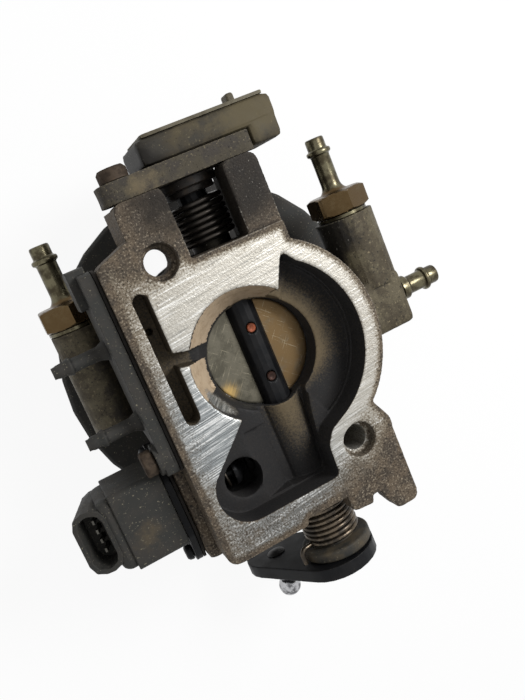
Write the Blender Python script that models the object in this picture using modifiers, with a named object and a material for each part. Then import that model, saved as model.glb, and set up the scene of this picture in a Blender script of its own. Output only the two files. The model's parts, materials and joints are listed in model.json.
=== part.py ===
"""Single-point injection throttle body, lying on its air horn with the manifold flange up.

Lengths are metres. The model is drawn about the throttle bore: the bore axis is the local Z axis,
the throttle shaft runs along Y, and the air horn's rim stands on Z = 0.
"""

import math

import bmesh
import bpy
from mathutils import Matrix, Vector

# Clearances
GAP = 0.0003

# Place of the bore axis in the finished frame
BORE_X = -0.0004
BORE_Y = 0.0073

# Heights of the stacked castings
HORN_HEIGHT = 0.012
FUEL_BODY_HEIGHT = 0.0241
GASKET_THICKNESS = 0.001
CASTING_HEIGHT = 0.040

# Throttle bore, shaft and plate
BORE_RADIUS = 0.021
SHAFT_RADIUS = 0.006
SHAFT_DEPTH = 0.024
PLATE_THICKNESS = 0.0016
PLATE_SCREW_SPACING = 0.0206
PLATE_SCREW_RADIUS = 0.0018
PLATE_SCREW_HEAD = 0.0032
PLATE_SCREW_POCKET = 0.0012
BUSH_RADIUS = 0.0078
BUSH_GRIP = 0.009
BUSH_NOSE = 0.005

# Lower casting
LEFT_WALL_X = -0.047
CASTING_ROUND = 0.043
FLANGE_THICKNESS = 0.013
BARREL_INSET = 0.003
FOOT_Y = -0.064
SPRING_SEAT_Y = -0.0615
NOTCH_FLOOR_Y = 0.0443
POST_END_Y = 0.071
POST_DROP = 0.0008
POST_HEIGHT = 0.0305
NOTCH_LEFT_X = -0.015
NOTCH_RIGHT_X = 0.008
LEFT_POST_WIDTH = 0.0186
RIGHT_POST_WIDTH = 0.0135
LUG_DROP = 0.0035
LUG_THICKNESS = 0.0085
LUG_REACH = 0.0165
BOLT_A = (-0.0257, 0.0477)
BOLT_B = (0.0175, -0.0434)
BOLT_RADIUS = 0.0049
COUNTERBORE_RADIUS = 0.0067
COUNTERBORE_DEPTH = 0.005
EAR_SIDE = 0.0085
EAR_END = 0.008

# Recesses in the manifold face
CAVITY_ROUND = 0.0354
CAVITY_DEPTH = 0.014
SHELF_DEPTH = 0.012
TROUGH_DEPTH = 0.0185
TUNNEL_RADIUS = 0.0095
FLARE_RADIUS = 0.0246
FLARE_SHIFT = (-0.0074, 0.0044)
FLARE_STEP = 0.0008
SLOT_X = -0.0375
SLOT_WIDTH = 0.0057
SLOT_TOP_Y = 0.0376
SLOT_FOOT_Y = -0.0062
SLOT_BRANCH_Y = 0.0150
SLOT_DEPTH = 0.010

# Idle air valve
IDLE_Y = -0.0395
IDLE_DEPTH = 0.026
IDLE_PORT_X = -0.027
IDLE_PORT_RADIUS = 0.0077
IDLE_POCKET_RADIUS = 0.013
IDLE_PASSAGE_RADIUS = 0.0083
IDLE_SEAT_X = -0.0205
IDLE_SEAT_RADIUS = 0.0045
IDLE_PAD = 0.004
IDLE_GASKET = 0.001
IDLE_FLANGE = 0.0026
IDLE_FLANGE_LENGTH = 0.0495
IDLE_FLANGE_WIDTH = 0.023
IDLE_CAN_LENGTH = 0.0205
IDLE_CAN_SIZE = (0.0310, 0.028)
IDLE_CAN_SHIFT = 0.0020
IDLE_CAP = 0.005
IDLE_SCREW_SPACING = 0.0428
PINTLE_ROD_RADIUS = 0.0022
PINTLE_HEAD_RADIUS = 0.0062
CONNECTOR_LENGTH = 0.0248
CONNECTOR_WIDTH = 0.013
CONNECTOR_HEIGHT = 0.022
CONNECTOR_WALL = 0.0017
CONNECTOR_DEPTH = 0.012
CONNECTOR_TILT = 15.0
PIN_PITCH = 0.0039
PIN_SIZE = (0.0008, 0.0016)
PIN_DROP = 0.006

# Vacuum port block
VACUUM_GASKET = 0.001
VACUUM_PLATE = 0.0048
VACUUM_PLATE_HEIGHT = 0.023
VACUUM_DROP = 0.0025
VACUUM_TOP_Y = 0.054
VACUUM_FOOT_Y = -0.0235
VACUUM_TUBES_Y = (0.0262, -0.0022)
VACUUM_TUBE_DEPTH = 0.014
VACUUM_TUBE_RADIUS = 0.0027
VACUUM_TUBE_LENGTH = 0.0205
VACUUM_BOLT_Y = -0.0165
VACUUM_BOLT_DEPTH = 0.0079
VACUUM_BOSS = 0.0016
VACUUM_BOLT_RADIUS = 0.003
VACUUM_BOLT_HEX = 0.0046
VACUUM_BOLT_HEAD = 0.0045

# Fuel meter body and its fittings
FUEL_BODY_RADIUS = 0.040
THROAT_RADIUS = 0.031
POD_RADIUS = 0.0135
POD_HEIGHT = 0.0135
BRIDGE_WIDTH = 0.011
INLET_REACH = 0.018
INLET_Z = 0.033
INLET_BOSS_RADIUS = 0.0105
INLET_BOSS_SETBACK = 0.0047
INLET_BOSS_FOOT_Y = -0.008
RETURN_REACH = 0.0213
RETURN_Z = 0.040
RETURN_BOSS_RADIUS = 0.0125
RETURN_BOSS_SETBACK = 0.0068
RETURN_BLOCK_TOP_Y = 0.0055
RETURN_BLOCK_FOOT_Y = -0.0185
RETURN_BLOCK_TRIM = 0.0026
SIDE_NIPPLE_Y = -0.006
FITTING_HEX = 0.0110
FITTING_HEX_LENGTH = 0.009
FITTING_STEM_RADIUS = 0.0040
FITTING_STEM_LENGTH = 0.0235
FITTING_BEAD_RADIUS = 0.0052
FITTING_BORE_RADIUS = 0.0026
FITTING_THREAD_RADIUS = 0.0066
FITTING_THREAD_LENGTH = 0.010
WASHER_THICKNESS = 0.0012
SIDE_NIPPLE_LENGTH = 0.0211

# Air horn
HORN_RADIUS = 0.0725
HORN_RING_WIDTH = 0.0145
HORN_RIM_WIDTH = 0.003
HORN_RIM_HEIGHT = 0.006
HORN_WEB = 0.003
HORN_WINDOW_WIDTH = 0.0155
HORN_WINDOWS = ((96.0, 136.0), (-25.0, 35.0), (240.0, 300.0))
HORN_SCREW_ANGLES = (45.0, 225.0, 315.0)
BODY_SCREW_ANGLES = (15.0, 160.0, 262.0)
SCREW_RADIUS = 0.002
SCREW_HEAD_RADIUS = 0.0036
SCREW_HEAD_HEIGHT = 0.0026
SCREW_EDGE = 0.0045
SCREW_GRIP = 0.006

# Injector and pressure regulator
INJECTOR_RADIUS = 0.0105
INJECTOR_LENGTH = 0.0150
INJECTOR_TIP_RADIUS = 0.0055
INJECTOR_TIP_LENGTH = 0.0035
CLAMP_LENGTH = 0.044
CLAMP_THICKNESS = 0.0028
CLAMP_SCREW_SPACING = 0.036
CLAMP_SCREW_GRIP = 0.005
REGULATOR_X = 0.012
REGULATOR_RADIUS = 0.0105
REGULATOR_SEAT = 0.003
REGULATOR_LIP = 0.0015
REGULATOR_SCREW_RADIUS = 0.0012
REGULATOR_SCREW_LENGTH = 0.006
REGULATOR_COVER = 0.011

# Throttle lever end
RETURN_COIL_RADIUS = 0.0105
RETURN_WIRE_RADIUS = 0.0009
RETURN_TURNS = 8
RETURN_PITCH = 0.00225
RETURN_PHASE = 170.0
COLLAR_RADIUS = 0.0145
COLLAR_THICKNESS = 0.0045
COLLAR_HUB = 0.004
LEVER_THICKNESS = 0.0055
LEVER_ARM = (-0.0218, -0.0255)
LEVER_ARM_RADIUS = 0.0125
LEVER_HUB = (-0.0022, 0.0)
LEVER_HUB_RADIUS = 0.0168
LEVER_STUD = (-0.0215, -0.0220)
STUB_RADIUS = 0.004
NUT_SIZE = 0.0065
NUT_THICKNESS = 0.0045
BALL_RADIUS = 0.0048
BALL_REACH = 0.0105

# Throttle position sensor end
SENSOR_COIL_RADIUS = 0.0098
SENSOR_WIRE_RADIUS = 0.0009
SENSOR_TURNS = 7
SENSOR_PITCH = 0.00225
SENSOR_COLLAR_RADIUS = 0.0108
SENSOR_COLLAR_THICKNESS = 0.004
BRACKET_THICKNESS = 0.0074
BRACKET_LEFT_X = -0.0345
BRACKET_RIGHT_X = 0.024
BRACKET_HEIGHT = 0.027
BRACKET_DROP = 0.005
SENSOR_LEFT_X = -0.0165
SENSOR_RIGHT_X = 0.0365
SENSOR_HEIGHT = 0.032
SENSOR_DROP = 0.0052
SENSOR_THICKNESS = 0.0092
SENSOR_COVER = 0.0012
SENSOR_RIB_INSET = 0.006
SENSOR_POCKET = 0.0045
ROTOR_RADIUS = 0.008
ROTOR_THICKNESS = 0.003
SENSOR_SCREW_RADIUS = 0.0025
SENSOR_SCREW_HEAD = 0.0056
SENSOR_SCREW_HEAD_HEIGHT = 0.0052
SENSOR_SCREW_GRIP = 0.010
SENSOR_SCREWS_X = (-0.0270, 0.0152)
SENSOR_SCREW_DEPTHS = (0.0105, 0.0145)
PLUG_WIDTH = 0.020
PLUG_LENGTH = 0.014
PLUG_WALL = 0.0013

# Values worked out from the sizes above
FUEL_BODY_Z = HORN_HEIGHT + GAP
FUEL_BODY_TOP = FUEL_BODY_Z + FUEL_BODY_HEIGHT
CASTING_Z = FUEL_BODY_TOP + GAP + GASKET_THICKNESS + GAP
FLANGE_Z = CASTING_Z + CASTING_HEIGHT
SHAFT_Z = FLANGE_Z - SHAFT_DEPTH
FLANGE_FOOT_Z = FLANGE_Z - FLANGE_THICKNESS
POST_Z = FLANGE_Z - POST_DROP
IDLE_Z = FLANGE_Z - IDLE_DEPTH
PLATE_RADIUS = BORE_RADIUS - GAP
SCREW_CIRCLE_RADIUS = FUEL_BODY_RADIUS - SCREW_EDGE
INLET_X = -FUEL_BODY_RADIUS - INLET_REACH
INLET_BOSS_END_Y = FUEL_BODY_RADIUS - INLET_BOSS_SETBACK
RETURN_X = FUEL_BODY_RADIUS + RETURN_REACH
RETURN_BOSS_END_Y = FUEL_BODY_RADIUS - RETURN_BOSS_SETBACK
THROAT_TOP_RADIUS = BORE_RADIUS + 2 * GAP
PAD_X = LEFT_WALL_X - IDLE_PAD
COLLAR_Y = SPRING_SEAT_Y - RETURN_PITCH * (RETURN_TURNS + 2.2)
LEVER_Y = COLLAR_Y - COLLAR_THICKNESS - GAP
BRACKET_Y = POST_END_Y + GAP
SENSOR_Y = BRACKET_Y + BRACKET_THICKNESS + GAP
ROUND = 32
FINE = 16
SMALL = 10
PLAIN = 8

# Finishes: sRGB-like linear colour, roughness, metallic
FINISHES = {
    "cast_aluminium": ((0.30, 0.28, 0.25), 0.55, 0.9),
    "tan_casting": ((0.16, 0.14, 0.10), 0.60, 0.7),
    "black_plastic": ((0.022, 0.022, 0.024), 0.55, 0.0),
    "black_steel": ((0.030, 0.028, 0.027), 0.45, 0.8),
    "plated_steel": ((0.30, 0.27, 0.20), 0.40, 1.0),
    "rusty_steel": ((0.16, 0.070, 0.035), 0.80, 0.5),
    "bright_steel": ((0.65, 0.65, 0.66), 0.15, 1.0),
    "brass_plate": ((0.42, 0.38, 0.28), 0.35, 1.0),
    "copper_screw": ((0.35, 0.11, 0.05), 0.45, 1.0),
    "spring_steel": ((0.055, 0.052, 0.050), 0.40, 0.9),
    "gasket_paper": ((0.045, 0.040, 0.035), 0.90, 0.0),
    "tin_terminal": ((0.55, 0.54, 0.50), 0.30, 1.0),
}


def clear_scene():
    """Remove everything the start-up scene holds."""
    for item in list(bpy.data.objects):
        bpy.data.objects.remove(item, do_unlink=True)


def new_collection(name):
    """A collection linked to the scene."""
    made = bpy.data.collections.new(name)
    bpy.context.scene.collection.children.link(made)
    return made


def new_empty(name, location, parent=None):
    """A joint or frame marker."""
    marker = bpy.data.objects.new(name, None)
    marker.empty_display_size = 0.02
    marker.location = location
    marker.parent = parent
    PARTS.objects.link(marker)
    return marker


def new_material(name):
    """A Principled material from the finish table."""
    colour, roughness, metallic = FINISHES[name]
    made = bpy.data.materials.new(name)
    made.use_nodes = True
    shader = made.node_tree.nodes["Principled BSDF"]
    shader.inputs["Base Color"].default_value = (*colour, 1.0)
    shader.inputs["Roughness"].default_value = roughness
    shader.inputs["Metallic"].default_value = metallic
    return made


def helper(name, mesh):
    """A new object on the bore's frame, kept as a wire-drawn tool until part() shows it."""
    made = bpy.data.objects.new(name, mesh)
    CUTTERS.objects.link(made)
    made.parent = FRAME
    made.hide_render = True
    made.display_type = "WIRE"
    return made


def part(name, item, finish, carrier=None):
    """Name a finished piece, give it its finish and hang it on its carrier."""
    carrier = carrier or FRAME
    CUTTERS.objects.unlink(item)
    PARTS.objects.link(item)
    item.name = name
    item.hide_render = False
    item.display_type = "TEXTURED"
    item.data.materials.clear()
    item.data.materials.append(MATERIALS[finish])
    if carrier is not FRAME:
        item.parent = carrier
        item.matrix_parent_inverse = Matrix.Translation(-carrier.location)
    return item


def combine(target, operation, tools):
    """Stack one Boolean for each tool."""
    for tool in tools:
        modifier = target.modifiers.new(tool.name, "BOOLEAN")
        modifier.operation = operation
        modifier.solver = "EXACT"
        modifier.object = tool
    return target


def cut(target, *tools):
    """Take the tools out of the target."""
    return combine(target, "DIFFERENCE", tools)


def join(target, *tools):
    """Add the tools to the target."""
    return combine(target, "UNION", tools)


def soften(item, width, segments=2):
    """Round the item's edges."""
    modifier = item.modifiers.new("round edges", "BEVEL")
    modifier.width = width
    modifier.segments = segments
    modifier.limit_method = "ANGLE"
    return item


def mesh_from(build, matrix=None):
    """Run a bmesh builder and keep its result as a mesh."""
    shape = bmesh.new()
    build(shape)
    if matrix is not None:
        shape.transform(matrix)
    mesh = bpy.data.meshes.new("shape")
    shape.to_mesh(mesh)
    shape.free()
    return mesh


def along(start, direction):
    """A frame at start whose Z axis points along direction."""
    axis = Vector(direction).normalized()
    side = Vector((0.0, 1.0, 0.0)) if abs(axis.x) > 0.9 else Vector((1.0, 0.0, 0.0))
    upright = axis.cross(side).normalized()
    turn = Matrix((upright.cross(axis), upright, axis)).transposed()
    return Matrix.Translation(start) @ turn.to_4x4()


def cylinder(name, start, end, radius, segments=FINE, end_radius=None, spin=4.0):
    """A round bar, or a cone, from start to end, its facets turned off the axes by spin degrees."""
    span = Vector(end) - Vector(start)
    middle = Vector(start) + span / 2
    top = radius if end_radius is None else end_radius
    place = along(middle, span) @ Matrix.Rotation(math.radians(spin), 4, "Z")

    def build(shape):
        bmesh.ops.create_cone(
            shape,
            cap_ends=True,
            segments=segments,
            radius1=radius,
            radius2=top,
            depth=span.length,
        )

    return helper(name, mesh_from(build, place))


def box(name, low, high, matrix=None):
    """A block between two corners."""
    size = [b - a for a, b in zip(low, high)]
    middle = [(a + b) / 2 for a, b in zip(low, high)]
    place = Matrix.Translation(middle) @ Matrix.Diagonal((*size, 1.0))

    def build(shape):
        bmesh.ops.create_cube(shape, size=1.0, matrix=place)

    return helper(name, mesh_from(build, matrix))


def arc(centre, radius, start, end, steps):
    """Points of an arc between two angles in degrees."""
    points = []
    for index in range(steps + 1):
        angle = math.radians(start + (end - start) * index / steps)
        points.append((centre[0] + radius * math.cos(angle), centre[1] + radius * math.sin(angle)))
    return points


def rounded(corners, steps=2):
    """An outline through (x, y, radius) corners, each turned by a tangent arc that fits its sides."""
    outline = []
    count = len(corners)
    for index, (x, y, radius) in enumerate(corners):
        here = Vector((x, y))
        back = Vector(corners[index - 1][:2]) - here
        ahead = Vector(corners[(index + 1) % count][:2]) - here
        angle = back.angle(ahead)
        if radius == 0 or math.pi - angle < 0.01:
            outline.append((x, y))
            continue
        reach = min(radius / math.tan(angle / 2), 0.45 * back.length, 0.45 * ahead.length)
        turn = reach * math.tan(angle / 2)
        bisector = (back.normalized() + ahead.normalized()).normalized()
        centre = here + bisector * turn / math.sin(angle / 2)
        first = here + back.normalized() * reach - centre
        sweep = (here + ahead.normalized() * reach - centre).angle_signed(first)
        for step in range(steps + 1):
            spoke = first.copy()
            spoke.rotate(Matrix.Rotation(sweep * step / steps, 2))
            outline.append(tuple(centre + spoke))
    return outline


def strap_outline(first, first_radius, second, second_radius):
    """The outline of a belt pulled round two circles."""
    span = Vector(second) - Vector(first)
    heading = math.degrees(math.atan2(span.y, span.x))
    lean = math.degrees(math.acos((first_radius - second_radius) / span.length))
    outline = arc(first, first_radius, heading + lean, heading + 360 - lean, 14)
    outline += arc(second, second_radius, heading - lean, heading + lean, 10)
    return outline


def sharp(points):
    """Plain points as corners with no rounding."""
    return [(x, y, 0.0) for x, y in points]


def prism(name, outline, low, high, matrix=None):
    """A flat outline with thickness, drawn in local XY from low to high."""
    curve = bpy.data.curves.new(name, "CURVE")
    curve.dimensions = "2D"
    curve.fill_mode = "BOTH"
    curve.extrude = (high - low) / 2
    spline = curve.splines.new("POLY")
    spline.points.add(len(outline) - 1)
    for point, (x, y) in zip(spline.points, outline):
        point.co = (x, y, 0.0, 1.0)
    spline.use_cyclic_u = True
    place = Matrix.Translation((0.0, 0.0, (low + high) / 2))
    return helper(name, meshed(curve, (matrix or Matrix()) @ place))


def meshed(curve, matrix=None):
    """The closed mesh of a curve, its caps welded and its faces turned out."""
    carrier = bpy.data.objects.new("curve", curve)
    CUTTERS.objects.link(carrier)
    graph = bpy.context.evaluated_depsgraph_get()
    mesh = bpy.data.meshes.new_from_object(carrier.evaluated_get(graph))
    bpy.data.objects.remove(carrier)
    shape = bmesh.new()
    shape.from_mesh(mesh)
    bmesh.ops.remove_doubles(shape, verts=shape.verts, dist=1e-6)
    bmesh.ops.recalc_face_normals(shape, faces=shape.faces)
    if matrix is not None:
        shape.transform(matrix)
    shape.to_mesh(mesh)
    shape.free()
    return mesh


def across_y(y):
    """A frame for outlines in (x, z): local Z runs along -Y from the plane at y."""
    return Matrix.Translation((0.0, y, 0.0)) @ Matrix.Rotation(math.pi / 2, 4, "X")


def across_x(x):
    """A frame for outlines in (y, z): local Z runs along +X from the plane at x."""
    turn = Matrix(((0, 0, 1, 0), (1, 0, 0, 0), (0, 1, 0, 0), (0, 0, 0, 1)))
    return Matrix.Translation((x, 0.0, 0.0)) @ turn


def turned(name, profile, start, direction, segments=FINE, ring=False):
    """A turned piece: (radius, height) points, outer side from top to bottom, spun about its axis."""
    mesh = bpy.data.meshes.new(name)
    points = [(radius, 0.0, height) for radius, height in profile]
    edges = [(index, index + 1) for index in range(len(points) - 1)]
    if ring:
        edges.append((len(points) - 1, 0))
    mesh.from_pydata(points, edges, [])
    item = helper(name, mesh)
    item.matrix_basis = along(start, direction)
    screw = item.modifiers.new("turn", "SCREW")
    screw.steps = segments
    screw.render_steps = segments
    screw.use_merge_vertices = True
    screw.merge_threshold = 1e-5
    return item


def ring(name, start, direction, inner, outer, thickness, segments=FINE):
    """A flat washer standing on start."""
    profile = [(outer, thickness), (outer, 0.0), (inner, 0.0), (inner, thickness)]
    return turned(name, profile, start, direction, segments, ring=True)


def wire(name, points, radius):
    """A round wire along a path, with filled ends."""
    curve = bpy.data.curves.new(name, "CURVE")
    curve.dimensions = "3D"
    curve.bevel_depth = radius
    curve.bevel_resolution = 1
    curve.use_fill_caps = True
    spline = curve.splines.new("POLY")
    spline.points.add(len(points) - 1)
    for point, place in zip(spline.points, points):
        point.co = (*place, 1.0)
    return helper(name, meshed(curve))


def least_gap(name, points, radius, skip):
    """Print the least gap between turns of a wire, measured on its points."""
    least = min(
        (Vector(points[a]) - Vector(points[b])).length
        for a in range(len(points))
        for b in range(a + skip, len(points))
    )
    print(f"{name}: least gap between turns {1000 * (least - 2 * radius):.2f} mm")


def hex_bar(name, start, end, flat, spin=0.0):
    """A hexagon bar with its half width across flats."""
    return cylinder(name, start, end, flat / math.cos(math.pi / 6), 6, spin=spin)


def machine_screw(name, seat, direction, length, finish, radius=SCREW_RADIUS, carrier=None):
    """A round-headed screw: its head sits on the seat and its shank runs on against direction."""
    head = radius * SCREW_HEAD_RADIUS / SCREW_RADIUS
    height = radius * SCREW_HEAD_HEIGHT / SCREW_RADIUS
    profile = [
        (0.0, height),
        (head * 0.75, height),
        (head, height * 0.6),
        (head, 0.0),
        (radius, 0.0),
        (radius, -length),
        (0.0, -length),
    ]
    return part(name, turned(name, profile, seat, direction, PLAIN), finish, carrier)


def polar(radius, degrees, z):
    """A point at a radius and angle about the bore."""
    angle = math.radians(degrees)
    return (radius * math.cos(angle), radius * math.sin(angle), z)


def flange_outline():
    """The manifold flange: flat left wall, round right side, ears round both bolts."""
    post_right = NOTCH_RIGHT_X + RIGHT_POST_WIDTH
    post_left = NOTCH_LEFT_X - LEFT_POST_WIDTH
    ear_x = BOLT_B[0] + COUNTERBORE_RADIUS + EAR_SIDE
    ear_y = BOLT_B[1] - COUNTERBORE_RADIUS - EAR_END
    rise = math.degrees(math.acos(post_right / CASTING_ROUND))
    corners = [
        (LEFT_WALL_X, FOOT_Y, 0.004),
        (-0.014, FOOT_Y, 0.0015),
        (-0.013, SPRING_SEAT_Y, 0.001),
        (0.009, SPRING_SEAT_Y, 0.002),
        (ear_x - 0.003, ear_y, 0.007),
        (ear_x, BOLT_B[1] + 0.002, 0.006),
        (*polar(CASTING_ROUND, -49.0, 0.0)[:2], 0.003),
    ]
    corners += sharp(arc((0.0, 0.0), CASTING_ROUND, -46.0, rise, 15))
    corners += [
        (post_right, NOTCH_FLOOR_Y, 0.0),
        (NOTCH_LEFT_X, NOTCH_FLOOR_Y, 0.001),
        (NOTCH_LEFT_X, BOLT_A[1] + COUNTERBORE_RADIUS + 0.003, 0.001),
        (post_left, BOLT_A[1] + COUNTERBORE_RADIUS + 0.004, 0.003),
        (LEFT_WALL_X, BOLT_A[1] + COUNTERBORE_RADIUS - 0.001, 0.003),
    ]
    return rounded(corners, 3)


def barrel_outline():
    """The casting below the flange: drawn in round the bore, with a boss for the upper shaft bush."""
    radius = CASTING_ROUND - BARREL_INSET
    foot = SPRING_SEAT_Y + BARREL_INSET / 6
    ear_x = BOLT_B[0] + COUNTERBORE_RADIUS + EAR_SIDE - BARREL_INSET
    ear_y = BOLT_B[1] - COUNTERBORE_RADIUS - EAR_END + BARREL_INSET
    boss = BUSH_RADIUS + BARREL_INSET
    shoulder = NOTCH_FLOOR_Y - 2 * BARREL_INSET
    rise = math.degrees(math.acos(boss / radius)) - 2.0
    corners = [
        (LEFT_WALL_X, foot, 0.004),
        (0.009, foot, 0.003),
        (ear_x - 0.003, ear_y, 0.006),
        (ear_x, BOLT_B[1] + 0.002, 0.005),
        (*polar(radius, -51.0, 0.0)[:2], 0.003),
    ]
    corners += sharp(arc((0.0, 0.0), radius, -48.0, rise, 10))
    corners += [
        (boss, NOTCH_FLOOR_Y - GAP, 0.0015),
        (-boss, NOTCH_FLOOR_Y - GAP, 0.0015),
        (-boss, shoulder, 0.001),
        (NOTCH_LEFT_X - LEFT_POST_WIDTH, shoulder, 0.004),
        (LEFT_WALL_X, shoulder - 0.006, 0.004),
    ]
    return rounded(corners)


def lug_outline():
    """The rough ear below the lower bolt, with the notch that the cable bracket hooks."""
    right = BOLT_B[0] + COUNTERBORE_RADIUS + 0.0092
    foot = SPRING_SEAT_Y - LUG_REACH
    left = 0.0055
    corners = [
        (left, BOLT_B[1] - 0.010, 0.0),
        (left, foot + 0.008, 0.002),
        (left + 0.009, foot + 0.0072, 0.001),
        (left + 0.010, foot + 0.0102, 0.001),
        (left + 0.0135, foot + 0.0102, 0.001),
        (left + 0.0150, foot + 0.0055, 0.001),
        (left + 0.0180, foot, 0.002),
        (right, foot, 0.003),
        (right, BOLT_B[1], 0.0),
    ]
    return rounded(corners, 3)


def cavity_outline():
    """The bypass cavity: a crescent round the bore that runs into a pocket round the idle port."""
    pocket = (IDLE_PORT_X - 0.0015, IDLE_Y)
    floor_y = IDLE_Y - IDLE_POCKET_RADIUS
    right = BOLT_B[0] - COUNTERBORE_RADIUS - 0.0055
    corners = [(0.0075, 0.8 * BORE_RADIUS, 0.0), (0.0160, 0.0345, 0.0025)]
    corners += sharp(arc((0.0, 0.0), CAVITY_ROUND, 56.0, -68.0, 16))
    corners += [
        (right + 0.0035, -0.0350, 0.003),
        (right, -0.0400, 0.004),
        (right - 0.0005, floor_y, 0.0025),
    ]
    corners += sharp(arc(pocket, IDLE_POCKET_RADIUS, 270.0, 142.0, 10))
    corners += [
        (-0.0200, -0.0145, 0.0),
        (0.0, 0.0, 0.0),
    ]
    return rounded(corners, 3)


def crescent_outline():
    """The deeper run of the cavity round the right of the bore."""
    outer = arc((0.0, 0.0), CAVITY_ROUND - 0.0006, 52.0, -66.0, 14)
    inner = arc((0.0, 0.0), 0.7 * BORE_RADIUS, -66.0, 52.0, 2)
    return outer + inner


def trough_outline():
    """The troughs on both sides of the shaft tunnel."""
    half = TUNNEL_RADIUS + 0.0016
    right = BOLT_B[0] - COUNTERBORE_RADIUS - 0.0062
    foot = IDLE_Y - IDLE_POCKET_RADIUS + 0.0006
    corners = [
        (-half, -BORE_RADIUS * 0.6, 0.0),
        (-half, foot, 0.0015),
        (right, foot, 0.0015),
        (right + 0.003, -1.35 * BORE_RADIUS, 0.002),
        (half, -BORE_RADIUS * 0.6, 0.0),
    ]
    return rounded(corners, 3)


def valley_tool():
    """The slope from the idle port's shelf down to the shaft tunnel."""
    high = FLANGE_Z - SHELF_DEPTH + 0.0006
    low = FLANGE_Z - TROUGH_DEPTH + 0.0004
    near = -TUNNEL_RADIUS - 0.0015
    outline = [(near - 0.0110, high), (near, low), (near + 0.004, low), (near + 0.004, high)]
    foot = IDLE_Y - IDLE_POCKET_RADIUS + 0.0010
    return prism("valley", outline, 0.0, -1.15 * BORE_RADIUS - foot, across_y(-1.15 * BORE_RADIUS))


def slot_tools():
    """The T-shaped vacuum slot: a round-ended run and a branch into the bore."""
    half = SLOT_WIDTH / 2
    floor = FLANGE_Z - SLOT_DEPTH
    top = FLANGE_Z + GAP
    run = arc((SLOT_X, SLOT_TOP_Y), half, 0.0, 180.0, 8)
    run += arc((SLOT_X, SLOT_FOOT_Y), half, 180.0, 360.0, 8)
    branch = rounded(
        [
            (SLOT_X, SLOT_BRANCH_Y - half, 0.0),
            (-0.8 * BORE_RADIUS, SLOT_BRANCH_Y - 2.6 * half, 0.0),
            (-0.8 * BORE_RADIUS, SLOT_BRANCH_Y - 0.9 * half, 0.0),
            (SLOT_X, SLOT_BRANCH_Y + half, 0.0),
        ]
    )
    return [prism("slot run", run, floor, top), prism("slot branch", branch, floor, top)]


def flare_tool():
    """An off-centre cone that leaves the bore's wall and widens to the mouth at the manifold face."""
    foot = SHAFT_Z + 2 * PLATE_THICKNESS
    tool = cylinder(
        "flare", (0, 0, foot), (0, 0, FLANGE_Z), BORE_RADIUS - FLARE_STEP, ROUND, FLARE_RADIUS
    )
    for vertex in tool.data.vertices:
        if vertex.co.z > (foot + FLANGE_Z) / 2:
            vertex.co.x += FLARE_SHIFT[0]
            vertex.co.y += FLARE_SHIFT[1]
            vertex.co.z += GAP
    return tool


def idle_tools():
    """The idle air path: port, valve passage, seat and the way back to the air side of the bore."""
    link_x = IDLE_SEAT_X + 0.005
    link_z = SHAFT_Z - SHAFT_RADIUS - 0.004
    port_top = (IDLE_PORT_X, IDLE_Y, FLANGE_Z - SHELF_DEPTH + 0.001)
    lip_low = (IDLE_PORT_X, IDLE_Y, FLANGE_Z - SHELF_DEPTH - 0.0012)
    return [
        cylinder("idle port", (IDLE_PORT_X, IDLE_Y, IDLE_Z), port_top, IDLE_PORT_RADIUS),
        cylinder(
            "idle port lip",
            lip_low,
            port_top,
            IDLE_PORT_RADIUS - 0.0015,
            end_radius=IDLE_PORT_RADIUS + 0.0020,
            spin=11.0,
        ),
        cylinder(
            "idle passage",
            (PAD_X - 0.001, IDLE_Y, IDLE_Z),
            (IDLE_SEAT_X, IDLE_Y, IDLE_Z),
            IDLE_PASSAGE_RADIUS,
        ),
        cylinder(
            "idle seat",
            (IDLE_SEAT_X - 0.001, IDLE_Y, IDLE_Z),
            (link_x + 0.003, IDLE_Y, IDLE_Z),
            IDLE_SEAT_RADIUS,
            SMALL,
        ),
        cylinder(
            "idle link",
            (link_x, IDLE_Y, link_z - 0.003),
            (link_x, IDLE_Y, IDLE_Z),
            0.0032,
            SMALL,
        ),
        cylinder(
            "idle return",
            (link_x, IDLE_Y, link_z),
            (-0.3 * BORE_RADIUS, -0.6 * BORE_RADIUS, link_z),
            0.0030,
            SMALL,
        ),
    ]


def bolt_tools():
    """The two through holes for the manifold bolts, with their spot faces."""
    tools = []
    for x, y in (BOLT_A, BOLT_B):
        top = FLANGE_Z + GAP
        tools.append(cylinder("bolt hole", (x, y, CASTING_Z - GAP), (x, y, top), BOLT_RADIUS))
        tools.append(
            cylinder(
                "spot face", (x, y, FLANGE_Z - COUNTERBORE_DEPTH), (x, y, top), COUNTERBORE_RADIUS
            )
        )
    return tools


def screw_hole(seat, direction, length, radius=SCREW_RADIUS):
    """The hole that takes a screw's shank, with its clearance."""
    way = Vector(direction).normalized()
    start = Vector(seat) + way * GAP
    end = Vector(seat) - way * (length + GAP)
    return cylinder("screw hole", start, end, radius + 2 * GAP, PLAIN)


def shaft_bores():
    """The shaft's bore through the casting and the two pockets of its bushes."""
    low = SPRING_SEAT_Y - BUSH_NOSE
    high = NOTCH_FLOOR_Y + BUSH_NOSE
    pocket = BUSH_RADIUS + GAP
    return [
        cylinder("shaft bore", (0, low, SHAFT_Z), (0, high, SHAFT_Z), SHAFT_RADIUS + 2 * GAP, SMALL),
        cylinder(
            "lower bush pocket",
            (0, low, SHAFT_Z),
            (0, SPRING_SEAT_Y + BUSH_GRIP + GAP, SHAFT_Z),
            pocket,
        ),
        cylinder(
            "upper bush pocket",
            (0, NOTCH_FLOOR_Y - BUSH_GRIP - GAP, SHAFT_Z),
            (0, high, SHAFT_Z),
            pocket,
        ),
    ]


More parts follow.
